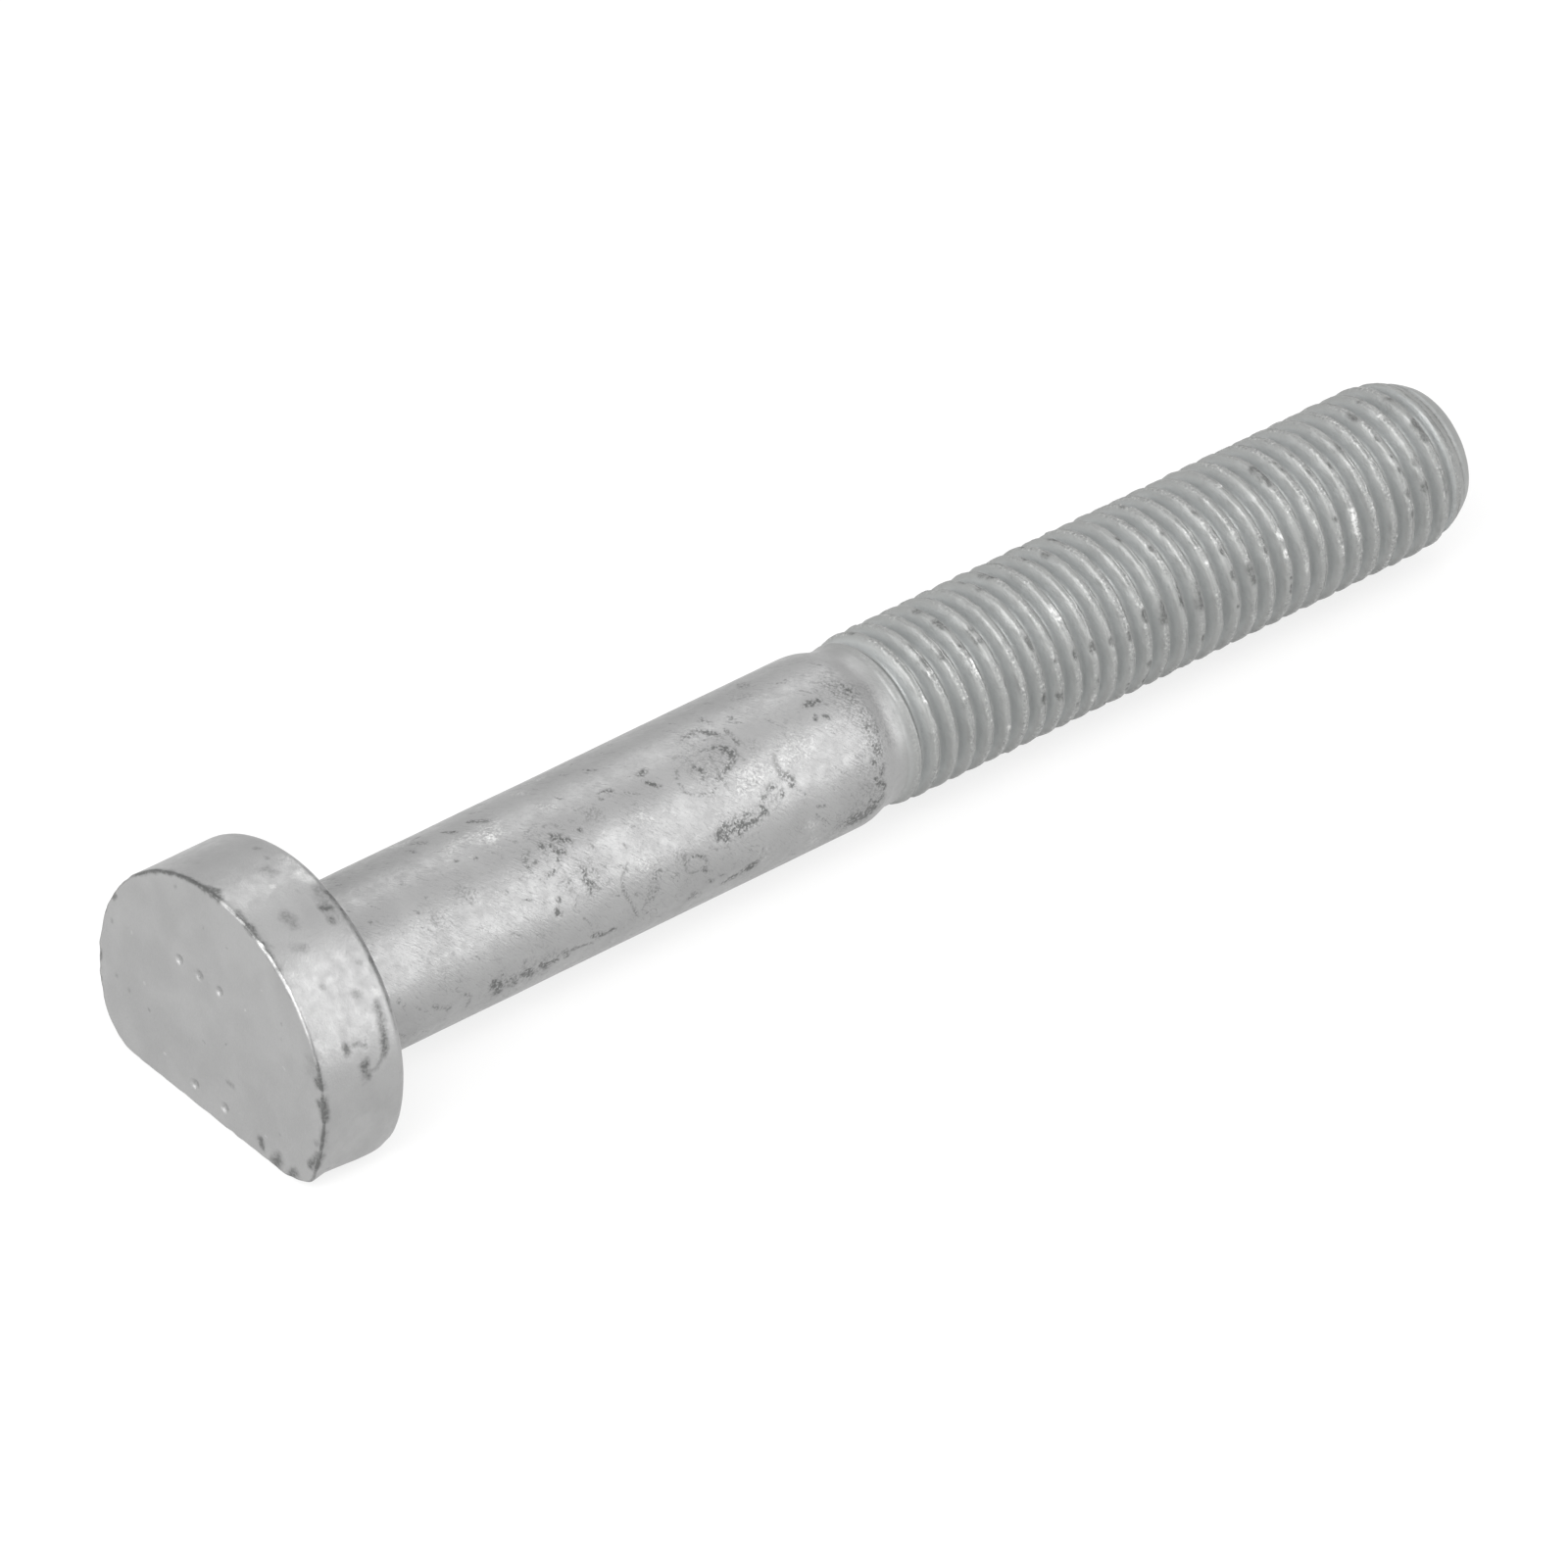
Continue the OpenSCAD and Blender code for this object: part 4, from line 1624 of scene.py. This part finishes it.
    def build(self, material: bpy.types.Material) -> bpy.types.Object:
        """Builds the shoulder, neck and thread.

        Args:
            material: Finish of the thread.

        Returns:
            The thread as a closed piece, whose first end lies inside the shank.
        """
        spread, angle = self.sheet()
        columns = len(spread)
        x, radius, height, phase = self.section(spread, angle)
        place = around_axis(x, radius, angle).reshape(-1, 3)
        x, radius, height, phase, along, turned = (
            values.ravel() for values in (x, radius, height, phase, spread, angle)
        )
        relief = self.bar.relief(place)
        for stroke in self.crest_strokes():
            relief.draw(place, stroke.on_round(self.crest_r), stroke)
        grown = smooth_step(along, *self.run_in) * smooth_step(along, *self.run_out)
        crest = smooth_step(height, *self.crest_heights) * grown
        plain = smooth_step(along, *self.skin_end)
        rise = plain * self.bar.wave(place) + (1 - plain) * self.neck_skin.at(place)
        rise += grown * self.thread_skin.at(place)
        rise += crest * sum(lumps.at(place) for lumps in self.crest_skin)
        creased = bell(phase, *self.crease) * self.crease_patches.at(place)
        rise -= grown * self.crease_depth * creased + relief.depth
        rise *= smooth_step(radius, *self.smooth_middle)
        rise = np.where(along < self.start[-1][0], np.minimum(rise, 0.0), rise)
        slide = crest * sum(lumps.at(place) for lumps in self.crest_slide)
        place = around_axis(x + slide, radius + rise, turned)
        # Bare wear with a painted highlight along the crests' near edges.
        edge = bell(phase, *self.bare_edge_and_highlight) * self.edge_patches.at(place)
        dirt = bell(phase, *self.crease_dirt) * self.dirt_patches.at(place)
        # Painted shade along the bottom of every groove.
        painted_groove_shade = self.groove_shade_strength * bell((phase + 0.5) % 1, *self.groove_shade_band)
        relief.soil += self.crease_dirt_and_shade * grown * np.maximum(dirt, painted_groove_shade)
        relief.shine += self.edge_shine_and_highlight * grown * edge
        relief.scrawl *= plain
        layers = {
            **relief.layers(self.grain + (1 - self.grain) * plain),
            Layer.THREAD: smooth_step(along, *self.coat_start),
            # Where the painted light lies, low on the thread's flanks.
            Layer.ROOT: grown * bell(phase, *self.painted_light_band),
            Layer.CREST: crest * self.grit_patches.at(place),
        }
        skin = Skin(place, self.faces(columns), layers, self.bar.flow(place))
        return skin.piece("rolled_thread", material)


# Camera, light and floor

# Middle of the bolt in metres, which the lamps aim at and the floor lies round.
BOLT_MIDDLE = (0.06, 0.0, 0.0)


@dataclass(frozen=True)
class PhotoCamera:
    """The camera that took the photo: far off, with a long lens, over the head's side."""

    place: Place = (-1045.90, -1242.72, 1288.00)
    azimuth: float = -41.513
    elevation: float = 37.872
    roll: float = 2.687
    sensor: float = 36.0
    lens: float = 562.5
    # The nearest and farthest that it sees, in metres.
    clip: Pair = (0.05, 20.0)

    def build(self) -> bpy.types.Object:
        """Sets the camera up and makes it the scene's camera.

        Returns:
            The camera.
        """
        azimuth, elevation, roll = (
            math.radians(a) for a in (self.azimuth, self.elevation, self.roll)
        )
        back = Vector(
            (
                math.sin(azimuth) * math.cos(elevation),
                -math.cos(azimuth) * math.cos(elevation),
                math.sin(elevation),
            )
        )
        level = Vector((0, 0, 1)).cross(back).normalized()
        upright = back.cross(level)
        right = math.cos(roll) * level + math.sin(roll) * upright
        up = math.cos(roll) * upright - math.sin(roll) * level
        data = bpy.data.cameras.new("photo_camera")
        data.sensor_width = self.sensor
        data.lens = self.lens
        data.clip_start, data.clip_end = self.clip
        made = add_object("photo_camera", data)
        turned = Matrix((right, up, back)).transposed().to_4x4()
        made.matrix_world = Matrix.Translation(Vector(self.place) * MM) @ turned
        bpy.context.scene.camera = made
        return made


@dataclass(frozen=True)
class SoftBox:
    """One square lamp, aimed at the middle of the bolt. Its distance is in metres."""

    name: str
    toward: Place
    side: float
    power: float
    distance: float = 1.4
    aim: Place = BOLT_MIDDLE

    def build(self) -> bpy.types.Object:
        """Hangs the lamp up.

        Returns:
            The lamp.
        """
        data = bpy.data.lights.new(self.name, "AREA")
        data.shape = "SQUARE"
        data.size = self.side
        data.energy = self.power
        made = add_object(self.name, data)
        toward = Vector(self.toward).normalized()
        made.location = Vector(self.aim) + toward * self.distance
        made.rotation_mode = "QUATERNION"
        made.rotation_quaternion = (-toward).to_track_quat("-Z", "Y")
        return made


@dataclass(frozen=True)
class Studio:
    """White room with a paper floor and soft lamps round the bolt."""

    floor_z: float = -8.3
    floor_side: float = 3.0
    # What the eye and reflections see of the room, and its strength on the paper.
    room: str = "#EDEDED"
    ambient: float = 0.82
    lamps: tuple[SoftBox, ...] = (
        SoftBox("main_softbox", (0.523, -0.550, 0.650), 0.60, 3.6),
        SoftBox("wide_softbox", (0.523, -0.800, 0.300), 0.60, 1.5),
        SoftBox("front_softbox", (0.500, -0.850, 0.120), 0.60, 2.6),
        SoftBox("back_softbox", (0.523, 0.500, 0.691), 0.50, 1.75),
        SoftBox("top_softbox", (0.523, 0.000, 0.850), 0.50, 0.4),
        SoftBox("left_softbox", (-0.950, 0.240, 0.170), 0.70, 6.0),
        SoftBox("left_high_softbox", (-0.850, 0.000, 0.500), 0.60, 3.8),
        SoftBox("left_over_softbox", (-0.700, -0.200, 0.680), 0.60, 5.0),
        SoftBox("over_softbox", (-0.450, -0.330, 0.830), 0.60, 6.5),
        SoftBox("left_near_softbox", (-0.900, -0.350, 0.150), 0.60, 3.2),
    )

    def world(self) -> None:
        """Makes the room pale to the eye and in reflections, and a light to the paper."""
        room = bpy.data.worlds.new("pale_room")
        room.use_nodes = True
        tree = room.node_tree
        lit = tree.nodes["Background"]
        lit.inputs["Color"].default_value = to_linear("#FFFFFF")
        lit.inputs["Strength"].default_value = self.ambient
        pale = add_node(tree, Node.SKY, {"Color": to_linear(self.room), "Strength": 1.0})
        both = {0: seen_ray(tree), 1: lit.outputs[0], 2: pale.outputs[0]}
        mixed = add_node(tree, Node.BLEND, both).outputs[0]
        tree.links.new(mixed, tree.nodes["World Output"].inputs["Surface"])
        bpy.context.scene.world = room

    def floor(self) -> bpy.types.Object:
        """Lays the paper under the bolt.

        Returns:
            The floor, which isn't part of the object.
        """
        half, middle, z = self.floor_side / 2, BOLT_MIDDLE[0], self.floor_z * MM
        corners = [
            (middle + along * half, across * half, z)
            for along, across in ((-1, -1), (1, -1), (1, 1), (-1, 1))
        ]
        mesh = bpy.data.meshes.new("paper_floor")
        mesh.from_pydata(corners, [], [(0, 1, 2, 3)])
        mesh.materials.append(WhitePaper().material())
        made = add_object("paper_floor", mesh)
        return made

    def build(self) -> None:
        """Sets up the room, the floor and the lamps."""
        self.world()
        self.floor()
        for lamp in self.lamps:
            lamp.build()
        bpy.context.scene.view_settings.view_transform = "Standard"


def main() -> None:
    """Builds the bolt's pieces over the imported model, then the studio and the camera."""
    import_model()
    steel = ZincFlakeSteel().material()
    bar = DrawnBar()
    for part in (ForgedHead(), PlainShank(bar), RolledThread(bar)):
        piece = part.build(steel)
        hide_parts(CAD_NODE)
        LOG.info("built %s with %d points", piece.name, len(piece.data.vertices))
    Studio().build()
    camera = PhotoCamera().build()
    LOG.info("camera %s at %s", camera.name, tuple(camera.location))


if __name__ == "__main__":
    logging.basicConfig(level=logging.INFO)
    main()
